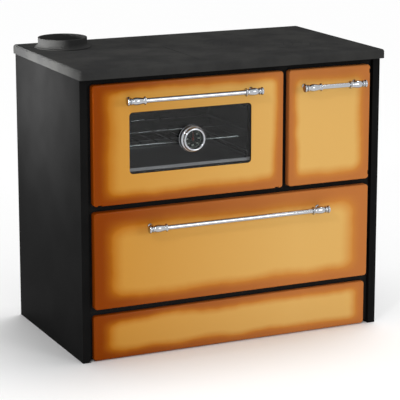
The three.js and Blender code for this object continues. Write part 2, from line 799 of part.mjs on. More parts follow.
// The grate: long slots between bars, in rows along its length.
const grateX = grow(fireX, -brickThick - 2 * fit);
const grateY = sideBrickY;
const slotColumns = Math.floor((grateX[1] - grateX[0] - grateSlotPitch) / grateSlotPitch);
const grateSlots = [];
for (let row = 0; row < grateSlotRows; row += 1) {
  const length = (grateY[1] - grateY[0]) / grateSlotRows;
  const ys = [grateY[0] + row * length + grateSlotWidth, grateY[0] + (row + 1) * length - grateSlotWidth];
  for (let i = 0; i < slotColumns; i += 1) {
    const x = fireMiddle + (i - (slotColumns - 1) / 2) * grateSlotPitch;
    grateSlots.push(block(around(x, grateSlotWidth), ys, [grateSeat, grateSeat + 2 * grateThick]));
  }
}
piece('fire_grate', cut(
  block(grateX, grateY, [grateSeat + fit, grateSeat + fit + grateThick]),
  ...grateSlots,
), 'castIron', fire);

const panX = grow(ashX, -ashPanGap);
const panY = [behindFrame + airPocketY, casingRear - grateLedge - ashPanGap];
const panZ = [ashFloor + fit, ashFloor + fit + ashPanHeight];
piece('ash_pan', join(
  cut(
    block(panX, panY, panZ),
    block(grow(panX, -ashPanSheet), grow(panY, -ashPanSheet), [panZ[0] + ashPanSheet, panZ[1] + 1]),
  ),
  prism(roundedRect(around(fireMiddle, ashLipWidth), [panY[0] - ashLipReach, panY[0] + 1], ashLipCorner), 'z',
    [panZ[1] - ashLipBelowRim - ashLipThick, panZ[1] - ashLipBelowRim]),
), 'steel', fire);

// The air slide lies behind the rail under the fire mouth; its tab comes through a slot.
piece('air_slide', join(
  cut(
    block(airPlateX, [behindFrame, behindFrame + airPlate], airPlateZ),
    ...airSlots.map((xs) => block(xs, grow([behindFrame, behindFrame + airPlate], 1), airZ)),
  ),
  block([airTabX, airTabX + airTabWidth], [behindFrame - airTabReach, behindFrame + 1], grow(airZ, -3)),
), 'steel', assembly());

// ---------------------------------------------------------------- turned handles
// Distance from the outer end and radius: button, two grooves round a ring, barrel, collar.
const endProfile = [
  [0, 0], [9, 0], [handleEndRadius, 3.5], [11, 6.5], [7.5, 8], [7.5, 10], [10, 10.5], [10, 14],
  [7.5, 14.5], [7.5, 16.5], [9.5, 18.5], [11, 31], [8.2, 48],
  [handleEndRadius, 53.5], [handleEndRadius, handleEnd],
];
const barRadius = handleBar / 2;

function handle(prefix, group, [x0, x1], z, face) {
  const y = face - handleStandOff;
  for (const [side, tip, inward] of [['left', x0, 1], ['right', x1, -1]]) {
    const profile = endProfile.map(([radius, from]) => [radius, inward * from]);
    const seat = inward * (handleEnd - handleBarSeat);
    profile.push([barRadius + fit, inward * handleEnd], [barRadius + fit, seat], [0, seat]);
    const post = turned([
      [0, y],
      [handlePost / 2, y],
      [handlePost / 2, face - handleFootFlare],
      [handleFoot / 2, face - handleFootFlare / 2],
      [handleFoot / 2, face - fit],
      [0, face - fit],
    ], 'y', [tip + inward * handlePostFromTip, 0, z], turnedSides);
    piece(`${prefix}_handle_${side}_end`, join(turned(profile, 'x', [tip, y, z]), post), 'chrome', group);
  }
  const barFrom = x0 + handleEnd - handleBarSeat + fit;
  const barTo = x1 - handleEnd + handleBarSeat - fit;
  const bar = rod(barRadius, 'x', [barFrom, barTo], [0, y, z], turnedSides);
  piece(`${prefix}_handle_bar`, bar, 'chrome', group);
}

// ---------------------------------------------------------------- door linings and seals
// A door's cast lining fills the back of its enamel front and has two ears on the hinge axis.
const liningY = [frontRear - linerThick, frontRear];
const sealY = [frameSetBack - fit - sealThick, frameSetBack - fit];
const ringOf = (xs, zs, width, ys) => cut(
  prism(roundedRect(grow(xs, width), grow(zs, width), mouthCorner + width), 'y', ys),
  prism(roundedRect(xs, zs, mouthCorner), 'y', grow(ys, 1)),
);

// ---------------------------------------------------------------- oven door
const ovenDoor = assembly();
const windowX = [ovenDoorX[0] + windowFromLeft, ovenDoorX[1] - windowFromRight];
const windowZ = [doorZ[0] + windowFromFoot, doorZ[0] + windowFromFoot + windowHeight];
const hingeSlotY = [hingeY - hingeArm, frontRear + 1];
piece('oven_door_panel', cut(
  enamelFront(ovenDoorX, doorZ, frontFace, frontDepth),
  prism(roundedRect(windowX, windowZ, windowCorner), 'y', [frontFace - 1, frontFace + 2 * frontSheet]),
  ...ovenHinges.map((xs) => block(grow(xs, hingeClearance), hingeSlotY,
    [doorZ[0] - 1, doorZ[0] + 2 * frontSheet])),
), 'enamel', ovenDoor);

const gaugeAt = [(windowX[0] + windowX[1]) / 2, (windowZ[0] + windowZ[1]) / 2];
const stemHole = (ys) => rod(gaugeStem / 2 + 1, 'y', ys, [gaugeAt[0], 0, gaugeAt[1]], turnedSides);
const outerGlassY = [frontFace + frontSheet + fit, frontFace + frontSheet + fit + glassThick];
piece('oven_outer_glass', cut(
  prism(roundedRect(grow(windowX, glassLap), grow(windowZ, glassLap), windowCorner), 'y', outerGlassY),
  stemHole(grow(outerGlassY, 1)),
), 'darkGlass', ovenDoor);

const ovenSealX = grow(ovenX, sealLap);
const ovenSealZ = [ovenZ[0] - sealFoot, ovenZ[1] + sealFoot * 3];
const liningFoot = hingeArm / 2 + hingeClearance;
const liningX = grow(ovenDoorX, -frontSheet - fit);
const liningTop = doorZ[1] - frontSheet - fit;
const linerWindowX = grow(windowX, -linerWindowInset);
const linerWindowZ = [windowZ[0] + linerWindowLift, windowZ[1] - linerWindowInset];
const ovenEars = ovenHinges.map((xs, i) => {
  const from = i === 0 ? xs[1] + hingeClearance : xs[0] - hingeClearance - hingeLength;
  return [from, from + hingeLength];
});
piece('oven_door_lining', cut(
  join(
    prism(roundedRect(liningX, [ovenHingeZ + hingeArm / 2 - 1, liningTop], frontCorner - frontSheet), 'y',
      liningY),
    ...ovenEars.map((xs) => block(xs, [hingeY - hingeArm / 2, frontRear], around(ovenHingeZ, hingeArm))),
  ),
  prism(roundedRect(linerWindowX, linerWindowZ, windowCorner), 'y', grow(liningY, 1)),
  ringOf(grow(ovenSealX, -fit), grow(ovenSealZ, -fit), sealThick + 2 * fit, [sealY[0] - fit, sealY[1]]),
  ...ovenHinges.map((xs) => block(grow(xs, hingeClearance), grow(liningY, 1),
    [ovenHingeZ - hingeArm, ovenHingeZ + hingeArm + liningFoot])),
  ...ovenEars.map((xs) => ovenPin(grow(xs, 1), fit)),
), 'castIron', ovenDoor);
piece('oven_door_seal', ringOf(ovenSealX, ovenSealZ, sealThick, sealY), 'rope', ovenDoor);

const innerGlassY = [liningY[0] - fit - glassThick, liningY[0] - fit];
piece('oven_inner_glass', cut(
  prism(roundedRect(grow(linerWindowX, glassLap), grow(linerWindowZ, glassLap), windowCorner), 'y',
    innerGlassY),
  stemHole(grow(innerGlassY, 1)),
), 'clearGlass', ovenDoor);
handle('oven', ovenDoor, grow(ovenDoorX, -ovenHandleFromEdges), doorZ[0] + ovenHandleHeight, frontFace);

// The thermometer: a spun case on the glass, with its probe through both panes.
const gaugeY = outerGlassY[0] - fit;
const fromGlass = (distance) => gaugeY - distance;
const [baseR, rimR, boreR] = [gaugeBase / 2, gaugeRim / 2, gaugeBore / 2];
const caseCentre = [gaugeAt[0], 0, gaugeAt[1]];
piece('thermometer_case', join(
  turned([
    [0, fromGlass(0)],
    [baseR - gaugeBaseEdge, fromGlass(0)],
    [baseR, fromGlass(gaugeBaseEdge)],
    [baseR - 1, fromGlass(gaugeDrum)],
    [rimR + 1, fromGlass(gaugeShoulder)],
    [rimR - 1.5, fromGlass(gaugeProud)],
    [boreR - gaugeLip + 1, fromGlass(gaugeProud)],
    [boreR - gaugeLip, fromGlass(gaugeProud - 1.5)],
    [boreR - gaugeLip, fromGlass(gaugeProud - gaugeLensSet)],
    [boreR, fromGlass(gaugeProud - gaugeLensSet)],
    [boreR, fromGlass(gaugeFloor)],
    [0, fromGlass(gaugeFloor)],
  ], 'y', caseCentre, 2 * turnedSides),
  rod(gaugeStem / 2, 'y', [gaugeY - 1, gaugeStemReach], caseCentre, turnedSides),
), 'chrome', ovenDoor);
const dialRear = gaugeFloor + fit;
const dialFront = dialRear + dialThick;
const lensFront = gaugeProud - gaugeLensSet - fit;
const gaugeDisc = (from, to) =>
  rod(boreR - fit, 'y', [fromGlass(to), fromGlass(from)], caseCentre, 2 * turnedSides);
piece('thermometer_dial', gaugeDisc(dialRear, dialFront), 'dial', ovenDoor);
piece('thermometer_lens', gaugeDisc(lensFront - lensThick, lensFront), 'clearGlass', ovenDoor);

// The needle stands upright on the zero of the scale when the oven is cold.
const needleRear = fromGlass(dialFront + fit + needleHubReach);
const needleY = [needleRear - needleThick, needleRear];
piece('thermometer_needle', join(
  prism(outline(
    [gaugeAt[0] - needleWidth / 2, gaugeAt[1] - needleTail],
    [gaugeAt[0] + needleWidth / 2, gaugeAt[1] - needleTail],
    [gaugeAt[0] + needleTip / 2, gaugeAt[1] + needleLength],
    [gaugeAt[0] - needleTip / 2, gaugeAt[1] + needleLength],
  ), 'y', needleY),
  rod(needleHub / 2, 'y', [needleY[0] - needleHubReach, fromGlass(dialFront + fit)], caseCentre, turnedSides),
), 'needle', assembly());

// ---------------------------------------------------------------- fire door
const fireDoor = assembly();
piece('fire_door_panel', cut(
  enamelFront(fireDoorX, doorZ, frontFace, frontDepth),
  ...fireHinges.map((zs) => block([fireDoorX[1] - 2 * frontSheet, fireDoorX[1] + 1], hingeSlotY,
    grow(zs, hingeClearance))),
), 'enamel', fireDoor);

const fireSealX = grow(fireMouthX, fireSealGap);
const fireSealZ = [ashMouthZ[0] - fireSealGap, fireMouthZ[1] + fireSealGap];
const fireLiningX = [fireDoorX[0] + frontSheet + fit, fireHingeX - hingeArm / 2 + 1];
const fireLiningZ = grow(doorZ, -frontSheet - fit);
const fireEars = fireHinges.map((zs, i) => {
  const from = i === 0 ? zs[1] + hingeClearance : zs[0] - hingeClearance - hingeLength;
  return [from, from + hingeLength];
});
piece('fire_door_lining', cut(
  join(
    prism(roundedRect(fireLiningX, fireLiningZ, frontCorner - frontSheet), 'y', liningY),
    ...fireEars.map((zs) => block(around(fireHingeX, hingeArm), [hingeY - hingeArm / 2, frontRear], zs)),
  ),
  ringOf(grow(fireSealX, -fit), grow(fireSealZ, -fit), sealThick + 2 * fit, [sealY[0] - fit, sealY[1]]),
  ...fireHinges.map((zs) => block([fireHingeX - hingeArm - liningFoot, fireHingeX + hingeArm], grow(liningY, 1),
    grow(zs, hingeClearance))),
  ...fireEars.map((zs) => firePin(grow(zs, 1), fit)),
), 'castIron', fireDoor);
piece('fire_door_seal', ringOf(fireSealX, fireSealZ, sealThick, sealY), 'rope', fireDoor);
piece('fire_door_insulation', prism(roundedRect(
  grow(fireSealX, sealThick), grow(fireSealZ, sealThick), frontCorner,
), 'y', [frontFace + frontSheet + fit, liningY[0] - fit]), 'wool', fireDoor);
handle('fire', fireDoor, [fireDoorX[0] + fireHandleFromLeft, fireDoorX[1] - fireHandleFromRight],
  doorZ[0] + fireHandleHeight, frontFace);

// Hinge pins run from the frame's arm into the door's ear beside it.
ovenHinges.forEach((xs, i) => {
  const run = [Math.min(xs[0], ovenEars[i][0]), Math.max(xs[1], ovenEars[i][1])];
  piece(`oven_hinge_pin_${['left', 'right'][i]}`, ovenPin(run), 'steel', body);
});
fireHinges.forEach((zs, i) => {
  const run = [Math.min(zs[0], fireEars[i][0]), Math.max(zs[1], fireEars[i][1])];
  piece(`fire_hinge_pin_${['lower', 'upper'][i]}`, firePin(run), 'steel', body);
});

// ---------------------------------------------------------------- wood drawer
const drawer = assembly();
piece('drawer_front', enamelFront(drawerX, drawerZ, frontFace, frontDepth), 'enamel', drawer);
const boxX = grow(drawerX, -boxInset);
const boxY = [frontRear + fit, frontRear + fit + boxDepth];
const boxZ = [drawerZ[0] + boxAboveFoot, drawerZ[1] - boxBelowTop];
const slideZ = [floorZ[1] + slideAboveFloor, floorZ[1] + slideAboveFloor + slideHeight];
const slideY = [frameRear + slideSetBack, boxY[1]];
piece('drawer_box', join(
  cut(
    block(boxX, boxY, boxZ),
    block(grow(boxX, -boxSheet), grow(boxY, -boxSheet), [boxZ[0] + boxSheet, boxZ[1] + 1]),
  ),
  prism(roundedRect(grow(drawerX, -1), grow(drawerZ, -1), frontCorner - 1), 'y',
    [boxY[0], boxY[0] + boxSheet]),
  block([boxX[0] - slideReach, boxX[0] + 1], slideY, slideZ),
  block([boxX[1] - 1, boxX[1] + slideReach], slideY, slideZ),
), 'steel', drawer);
handle('drawer', drawer, [drawerX[0] + drawerHandleFromLeft, drawerX[1] - drawerHandleFromRight],
  drawerZ[1] - drawerHandleBelowTop, frontFace);

// A runner stands on the cabinet floor and holds the drawer's slide in a channel.
function runner(edge, outward) {
  const lip = edge + outward * runnerLip;
  const web = edge + outward * (slideReach + fit);
  const back = web + outward * runnerSheet;
  const foot = back + outward * runnerFoot;
  const [low, high] = [slideZ[0] - fit, slideZ[1] + fit];
  const floor = floorZ[1] + fit;
  return prism(outline(
    [back, floor + runnerSheet],
    [back, high + runnerSheet],
    [lip, high + runnerSheet],
    [lip, high],
    [web, high],
    [web, low],
    [lip, low],
    [lip, low - runnerSheet],
    [web, low - runnerSheet],
    [web, floor],
    [foot, floor],
    [foot, floor + runnerSheet],
  ), 'y', [behindFrame + runnerSetBack, boxY[1] + runnerSetBack]);
}
piece('left_drawer_runner', runner(boxX[0], -1), 'steel', body);
piece('right_drawer_runner', runner(boxX[1], 1), 'steel', body);

// ---------------------------------------------------------------- origin
// The handles reach furthest forward and the hob furthest back.
const handleReach = frontProud + handleStandOff + handleEndRadius;
stove.position.y = (handleReach - hobY[1]) / 2;

export default stove;
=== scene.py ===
"""A wood-fired cookstove: the looks of its enamel fronts, black body, cast hob and chrome fittings.

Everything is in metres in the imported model's frame: X along the front, Y from front to rear, Z up.
Profiles and small sizes are written in millimetres and scaled where a shape is made.
"""

import json
import math

import bmesh
import bpy
from mathutils import Matrix, Vector


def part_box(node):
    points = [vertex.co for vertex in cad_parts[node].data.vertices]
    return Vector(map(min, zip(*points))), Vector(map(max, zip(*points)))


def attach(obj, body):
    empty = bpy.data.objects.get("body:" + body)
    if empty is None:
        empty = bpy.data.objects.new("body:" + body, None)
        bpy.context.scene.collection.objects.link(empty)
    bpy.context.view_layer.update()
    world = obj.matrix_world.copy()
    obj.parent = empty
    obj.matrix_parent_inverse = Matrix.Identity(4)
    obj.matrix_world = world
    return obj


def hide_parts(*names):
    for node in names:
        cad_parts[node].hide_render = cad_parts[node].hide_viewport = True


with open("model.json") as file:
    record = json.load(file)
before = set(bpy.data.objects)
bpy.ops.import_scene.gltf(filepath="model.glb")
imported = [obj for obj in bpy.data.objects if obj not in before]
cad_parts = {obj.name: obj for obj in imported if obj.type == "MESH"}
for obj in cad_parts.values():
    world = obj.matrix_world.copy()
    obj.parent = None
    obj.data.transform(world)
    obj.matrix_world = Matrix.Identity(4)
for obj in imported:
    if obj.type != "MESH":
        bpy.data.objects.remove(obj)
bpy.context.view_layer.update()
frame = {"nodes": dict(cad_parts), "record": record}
nodes = frame["nodes"]

MM = 0.001
ROOM_LIGHT = 0.62

# The camera fitted to the picture: lengths in metres, angles in degrees, focal length in its pixels.
PICTURE_PIXELS, FOCAL_PIXELS, SENSOR_MM = 400, 1809.2, 36
CAMERA_PLACE = (-2.2560, -4.8539, 1.6624)
CAMERA_DIP, CAMERA_TURN = 12.189, -24.921
FRAME_SHIFT = -0.1

# The enamel's colours at the left end of the stove and at its right end; the right end's are paler with
# painted light and a painted reflection, as if more light fell there and the gloss mirrored the white room.
ENAMEL_BURNT_AND_PAINTED_LIGHT = ("#863A02", "#B87038")
ENAMEL_AMBER_AND_PAINTED_LIGHT = ("#B06810", "#C98338")
ENAMEL_HONEY_AND_PAINTED_LIGHT = ("#C68C38", "#DBAD62")
AXES = {"x": Vector((1, 0, 0)), "y": Vector((0, 1, 0)), "z": Vector((0, 0, 1))}


# ---------------------------------------------------------------- camera and studio
def photographer():
    """The camera of the picture: a long lens to the left of the stove and above its hob."""
    data = bpy.data.cameras.new("camera")
    data.sensor_width = SENSOR_MM
    data.lens = FOCAL_PIXELS / PICTURE_PIXELS * SENSOR_MM
    data.shift_y = FRAME_SHIFT
    camera = bpy.data.objects.new("camera", data)
    camera.location = CAMERA_PLACE
    camera.rotation_euler = (math.radians(90 - CAMERA_DIP), 0, math.radians(CAMERA_TURN))
    bpy.context.scene.collection.objects.link(camera)
    bpy.context.scene.camera = camera


def softbox(name, place, aim, size, watts, spread):
    """A lamp with a cloth front and a grid that narrows its beam, turned towards a point on the stove."""
    data = bpy.data.lights.new(name, "AREA")
    data.shape = "RECTANGLE"
    data.size, data.size_y = size
    data.energy = watts
    data.spread = math.radians(spread)
    lamp = bpy.data.objects.new(name, data)
    lamp.location = place
    lamp.rotation_euler = (Vector(aim) - Vector(place)).to_track_quat("-Z", "Y").to_euler()
    bpy.context.scene.collection.objects.link(lamp)


def linear(code):
    """An sRGB hex colour as the linear colour that a shader takes."""
    parts = [int(code[i : i + 2], 16) / 255 for i in (1, 3, 5)]
    curve = [p / 12.92 if p <= 0.04045 else ((p + 0.055) / 1.055) ** 2.4 for p in parts]
    return (*curve, 1.0)


def add(tree, kind, inputs=None, **settings):
    """Adds one node, sets its properties, and gives each named input a link or a value."""
    node = tree.nodes.new(kind)
    for key, value in settings.items():
        setattr(node, key, value)
    for key, value in (inputs or {}).items():
        if isinstance(value, bpy.types.NodeSocket):
            tree.links.new(value, node.inputs[key])
        else:
            node.inputs[key].default_value = value
    return node


def studio_air():
    """A white room: plain light on the stove, and full white where the camera or a gloss sees it."""
    world = bpy.data.worlds.new("white_room")
    world.use_nodes = True
    tree = world.node_tree
    tree.nodes.clear()
    path = add(tree, "ShaderNodeLightPath").outputs
    seen = sums(tree, "MAXIMUM", path["Is Camera Ray"], path["Is Transmission Ray"])
    seen = sums(tree, "MAXIMUM", seen, path["Is Glossy Ray"])
    strength = span(tree, seen, 0.0, 1.0, (ROOM_LIGHT, 1.0), False)
    light = add(tree, "ShaderNodeBackground", {"Color": linear("#FFFFFF"), "Strength": strength})
    add(tree, "ShaderNodeOutputWorld", {"Surface": light.outputs[0]})
    bpy.context.scene.world = world


def skylight(name, tilt, strength, spread):
    """A far, wide ceiling light that reaches the whole floor evenly."""
    data = bpy.data.lights.new(name, "SUN")
    data.energy = strength
    data.angle = math.radians(spread)
    lamp = bpy.data.objects.new(name, data)
    lamp.rotation_euler = [math.radians(t) for t in tilt]
    bpy.context.scene.collection.objects.link(lamp)


def sheet_of(name, colour, place, half_width):
    """A flat sheet of the studio, of matt paper or cloth."""
    cloth = bpy.data.materials.new(name + "_cloth")
    cloth.use_nodes = True
    shader = cloth.node_tree.nodes["Principled BSDF"]
    shader.inputs["Base Color"].default_value = linear(colour)
    shader.inputs["Roughness"].default_value = 1.0
    shader.inputs["Specular IOR Level"].default_value = 0.0
    shape = bmesh.new()
    bmesh.ops.create_grid(shape, x_segments=1, y_segments=1, size=half_width,
                          matrix=Matrix.Translation(place))
    mesh = bpy.data.meshes.new(name)
    shape.to_mesh(mesh)
    shape.free()
    mesh.materials.append(cloth)
    flat = bpy.data.objects.new(name, mesh)
    bpy.context.scene.collection.objects.link(flat)
    return flat


def black_flag():
    """A black cloth over the stove that only reflections see: polished chrome gets its dark line from it."""
    flag = sheet_of("black_flag", "#050505", (0.0, 0.35, 2.3), 1.0)
    flag.visible_camera = flag.visible_diffuse = flag.visible_shadow = False


# ---------------------------------------------------------------- finishes
DRIFTS_PER_METRE = 7.0  # the enamel's mist drifts about every 140 mm
SPECKS_PER_METRE = 300.0  # one cell of oven enamel every 3.3 mm, coarser than real so that it shows
PITS_PER_METRE = 140.0  # one pit in the brick about every 7 mm
ROPE_WAVES = 160.0  # a wave texture repeats 20 / (2 * pi) times per unit of its scale: every 2 mm
STREAK_LENGTH, STREAK_WIDTH = 125 * MM, 2.5 * MM


def finish(name, colour, roughness, metallic=0.0, coat=0.0, specular=0.5):
    """A material with one Principled shader; gives it, its tree, its shader and Object coordinates."""
    material = bpy.data.materials.new(name)
    material.use_nodes = True
    tree = material.node_tree
    shader = tree.nodes["Principled BSDF"]
    shader.inputs["Base Color"].default_value = linear(colour)
    shader.inputs["Roughness"].default_value = roughness
    shader.inputs["Metallic"].default_value = metallic
    shader.inputs["Coat Weight"].default_value = coat
    shader.inputs["Specular IOR Level"].default_value = specular
    place = add(tree, "ShaderNodeTexCoord").outputs["Object"]
    return material, tree, shader, place


def grain(tree, place, size, detail=2.0):
    """Even noise whose features are about `size` metres across."""
    noise = add(tree, "ShaderNodeTexNoise", {"Vector": place, "Scale": 0.5 / size, "Detail": detail})
    return noise.outputs["Fac"]


def relief(tree, shader, height, depth):
    """Bump of `depth` metres from a height between 0 and 1."""
    bump = add(tree, "ShaderNodeBump", {"Height": height, "Distance": depth, "Strength": 1.0})
    tree.links.new(bump.outputs["Normal"], shader.inputs["Normal"])


def span(tree, value, low, high, out=(0.0, 1.0), smooth=True):
    """A value taken from one range to another, with its ends held."""
    ranges = {"Value": value, "From Min": low, "From Max": high, "To Min": out[0], "To Max": out[1]}
    kind = "SMOOTHSTEP" if smooth else "LINEAR"
    return add(tree, "ShaderNodeMapRange", ranges, interpolation_type=kind).outputs[0]


def sums(tree, operation, *values):
    """One arithmetic step between two or three values."""
    return add(tree, "ShaderNodeMath", dict(enumerate(values)), operation=operation).outputs[0]


def between(tree, fac, low, high):
    """A colour between two others, each a hex colour or a link."""
    low, high = (linear(c) if isinstance(c, str) else c for c in (low, high))
    return add(tree, "ShaderNodeMix", {0: fac, 6: low, 7: high}, data_type="RGBA").outputs[2]


def tinge(tree, shader, fac, low, high):
    """Gives a shader's base colour a pattern between two colours."""
    tree.links.new(between(tree, fac, low, high), shader.inputs["Base Color"])


def powder_coated_steel():
    """Steel sheet under satin black powder coat: a faint orange peel, and no metal shows."""
    material, tree, shader, place = finish("powder_coated_steel", "#161616", 0.42, specular=0.006)
    relief(tree, shader, grain(tree, place, 1.6 * MM), 0.015 * MM)
    tinge(tree, shader, span(tree, grain(tree, place, 60 * MM), 0.3, 0.7), "#141414", "#181818")
    return material


def blacked_cast_iron():
    """Sand-cast iron ground flat and blacked: matt dark grey, finely grained, with paler rubbed patches."""
    material, tree, shader, place = finish("blacked_cast_iron", "#353535", 0.85, specular=0.0)
    fine = grain(tree, place, 1.4 * MM, 3.0)
    relief(tree, shader, fine, 0.06 * MM)
    patches = grain(tree, place, 45 * MM, 4.0)
    tone = sums(tree, "MULTIPLY_ADD", patches, 0.7, sums(tree, "MULTIPLY", fine, 0.3))
    tinge(tree, shader, span(tree, tone, 0.35, 0.65), "#303030", "#393938")
    return material


def rough_cast_iron():
    """Cast iron as it leaves the sand, under heat paint: coarser grain, dull and nearly black."""
    material, tree, shader, place = finish("rough_cast_iron", "#1A1A1A", 0.8, specular=0.1)
    coarse = grain(tree, place, 1.8 * MM, 4.0)
    relief(tree, shader, coarse, 0.2 * MM)
    tinge(tree, shader, span(tree, coarse, 0.3, 0.7), "#141414", "#1E1E1E")
    return material


def shaded_enamel(name, low, high, reach):
    """Vitreous enamel sprayed honey yellow, with burnt orange misted over the edges before firing.

    The mist is thickest along the edge and gone at `reach` millimetres from the left, right, lower and
    upper edges, with soft drifts; the glass itself is glossy. Every colour pales towards the stove's
    right end: painted light and a painted reflection.
    """
    material, tree, shader, place = finish(name, "#D39A48", 0.16, specular=0.05)
    axes = add(tree, "ShaderNodeSeparateXYZ", {"Vector": place}).outputs
    cloud = add(tree, "ShaderNodeTexNoise",
                {"Vector": place, "Scale": DRIFTS_PER_METRE, "Detail": 3.0, "Roughness": 0.5})
    drift = span(tree, cloud.outputs["Fac"], 0.25, 0.75, (-7 * MM, 7 * MM), False)
    clear = 1.0
    for axis, edge, way, far in (("X", low.x, 1.0, reach[0]), ("X", high.x, -1.0, reach[1]),
                                 ("Z", low.z, 1.0, reach[2]), ("Z", high.z, -1.0, reach[3])):
        inward = sums(tree, "MULTIPLY_ADD", sums(tree, "SUBTRACT", axes[axis], edge), way, drift)
        clear = sums(tree, "MULTIPLY", span(tree, inward, 0.16 * far * MM, far * MM), clear)
    # Painted light and painted reflection: every colour pales from the stove's left end to its right end.
    across = span(tree, axes["X"], -0.42, 0.2, smooth=False)
    burnt = between(tree, across, *ENAMEL_BURNT_AND_PAINTED_LIGHT)
    amber = between(tree, across, *ENAMEL_AMBER_AND_PAINTED_LIGHT)
    honey = between(tree, across, *ENAMEL_HONEY_AND_PAINTED_LIGHT)
    misted = between(tree, span(tree, clear, 0.0, 0.42, smooth=False), burnt, amber)
    colour = between(tree, span(tree, clear, 0.3, 0.95, smooth=False), misted, honey)
    tree.links.new(colour, shader.inputs["Base Color"])
    relief(tree, shader, grain(tree, place, 12 * MM, 1.0), 0.01 * MM)
    return material


def chrome_plated_brass():
    """Turned brass, polished and chrome plated: a clean cool mirror, blurred a little by wiping marks."""
    material, tree, shader, place = finish("chrome_plated_brass", "#B3B6BA", 0.08, metallic=1.0)
    wiped = span(tree, grain(tree, place, 0.8 * MM), 0.3, 0.7, (0.06, 0.1))
    tree.links.new(wiped, shader.inputs["Roughness"])
    return material


def aluminised_steel():
    """Mill-finish aluminised sheet: grey, softly streaked along the rolling direction."""
    material, tree, shader, place = finish("aluminised_steel", "#9C9FA1", 0.42, metallic=1.0)
    stretch = (1 / STREAK_LENGTH, 1 / STREAK_WIDTH, 1 / STREAK_WIDTH)
    rolled = add(tree, "ShaderNodeMapping", {"Vector": place, "Scale": stretch}).outputs[0]
    streak = add(tree, "ShaderNodeTexNoise", {"Vector": rolled, "Scale": 1.0, "Detail": 3.0}).outputs["Fac"]
    tree.links.new(span(tree, streak, 0.3, 0.7, (0.34, 0.5)), shader.inputs["Roughness"])
    tinge(tree, shader, span(tree, streak, 0.3, 0.7), "#92969A", "#A9ACAE")
    return material


def zinc_plated_steel():
    """Bright zinc on small turned fasteners: pale metal with a blurred shine and faint blotches."""
    material, tree, shader, place = finish("zinc_plated_steel", "#AEB2B4", 0.3, metallic=1.0)
    blotch = span(tree, grain(tree, place, 2 * MM), 0.3, 0.7)
    tinge(tree, shader, blotch, "#A2A7AB", "#BCBFBE")
    return material


def speckled_oven_enamel():
    """Black ground enamel with the fine pale specks that ovens and their trays have."""
    material, tree, shader, place = finish("speckled_oven_enamel", "#0A0A0B", 0.4, specular=0.12)
    cells = add(tree, "ShaderNodeTexVoronoi",
                {"Vector": place, "Scale": SPECKS_PER_METRE, "Randomness": 1.0}).outputs
    speck = span(tree, cells["Distance"], 0.12, 0.2, (1.0, 0.0))
    chosen = add(tree, "ShaderNodeSeparateXYZ", {"Vector": cells["Color"]}).outputs[0]
    speck = sums(tree, "MULTIPLY", speck, sums(tree, "GREATER_THAN", chosen, 0.8))
    tinge(tree, shader, speck, "#0A0A0B", "#4A4D4F")
    return material


def fireclay():
    """Pressed and fired clay brick: buff, with grog specks and pits a few millimetres across."""
    material, tree, shader, place = finish("fireclay_brick", "#C6AE86", 0.95, specular=0.1)
    grog = grain(tree, place, 3 * MM, 5.0)
    tinge(tree, shader, span(tree, grog, 0.35, 0.65), "#A98F68", "#D3BE98")
    pits = add(tree, "ShaderNodeTexVoronoi", {"Vector": place, "Scale": PITS_PER_METRE}).outputs["Distance"]
    relief(tree, shader, span(tree, pits, 0.0, 0.25), 0.5 * MM)
    return material


def glass_fibre_rope():
    """Knitted glass-fibre sealing rope: off-white with slanting strands about 2 mm wide."""
    material, tree, shader, place = finish("glass_fibre_rope", "#B9B4A6", 1.0, specular=0.05)
    slant = add(tree, "ShaderNodeMapping", {"Vector": place, "Rotation": (0.5, 0.6, 0.7)}).outputs[0]
    wave = add(tree, "ShaderNodeTexWave", {"Vector": slant, "Scale": ROPE_WAVES, "Distortion": 1.5})
    strand = wave.outputs["Fac"]
    tinge(tree, shader, strand, "#8E897B", "#CFCABD")
    relief(tree, shader, strand, 0.8 * MM)
    return material


def mineral_wool():
    """Bonded mineral wool: matted yellow-grey fibre with darker clumps."""
    material, tree, shader, place = finish("mineral_wool", "#C3B98F", 1.0, specular=0.0)
    mat = grain(tree, place, 5 * MM, 6.0)
    tinge(tree, shader, span(tree, mat, 0.3, 0.7), "#A1966B", "#D2C99F")
    relief(tree, shader, mat, 2.5 * MM)
    return material


def lacquered_aluminium(name, low, high):
    """Printed and lacquered aluminium: colour under a soft satin film, mottled very faintly."""
    material, tree, shader, place = finish(name, low, 0.45, specular=0.3)
    tinge(tree, shader, span(tree, grain(tree, place, 0.8 * MM), 0.3, 0.7), low, high)
    return material


def plate_glass(name, tint, index):
    """Heat-proof plate glass: it darkens what lies behind it and mirrors a little at its faces."""
    material = bpy.data.materials.new(name)
    material.use_nodes = True
    tree = material.node_tree
    tree.nodes.clear()
    through = add(tree, "ShaderNodeBsdfTransparent", {"Color": linear(tint)}).outputs[0]
    gloss = add(tree, "ShaderNodeBsdfGlossy", {"Color": linear("#FFFFFF"), "Roughness": 0.03}).outputs[0]
    facing = add(tree, "ShaderNodeFresnel", {"IOR": index}).outputs[0]
    both = add(tree, "ShaderNodeMixShader", {0: facing, 1: through, 2: gloss}).outputs[0]
    add(tree, "ShaderNodeOutputMaterial", {"Surface": both})
    return material


# ---------------------------------------------------------------- making pieces
record = frame["record"]
body_of = {node: body for body, held in record["behaviour"]["bodies"].items() for node in held}


def gather(name, shape, material, node, smooth=35, instead=True):
    """Turns a shape into a piece that rides with a CAD node, and stands for it unless it is an extra."""
    bmesh.ops.remove_doubles(shape, verts=shape.verts, dist=0.004 * MM)
    bmesh.ops.recalc_face_normals(shape, faces=shape.faces)
    mesh = bpy.data.meshes.new(name)
    shape.to_mesh(mesh)
    shape.free()
    dress(name, mesh, material, node, smooth, instead)


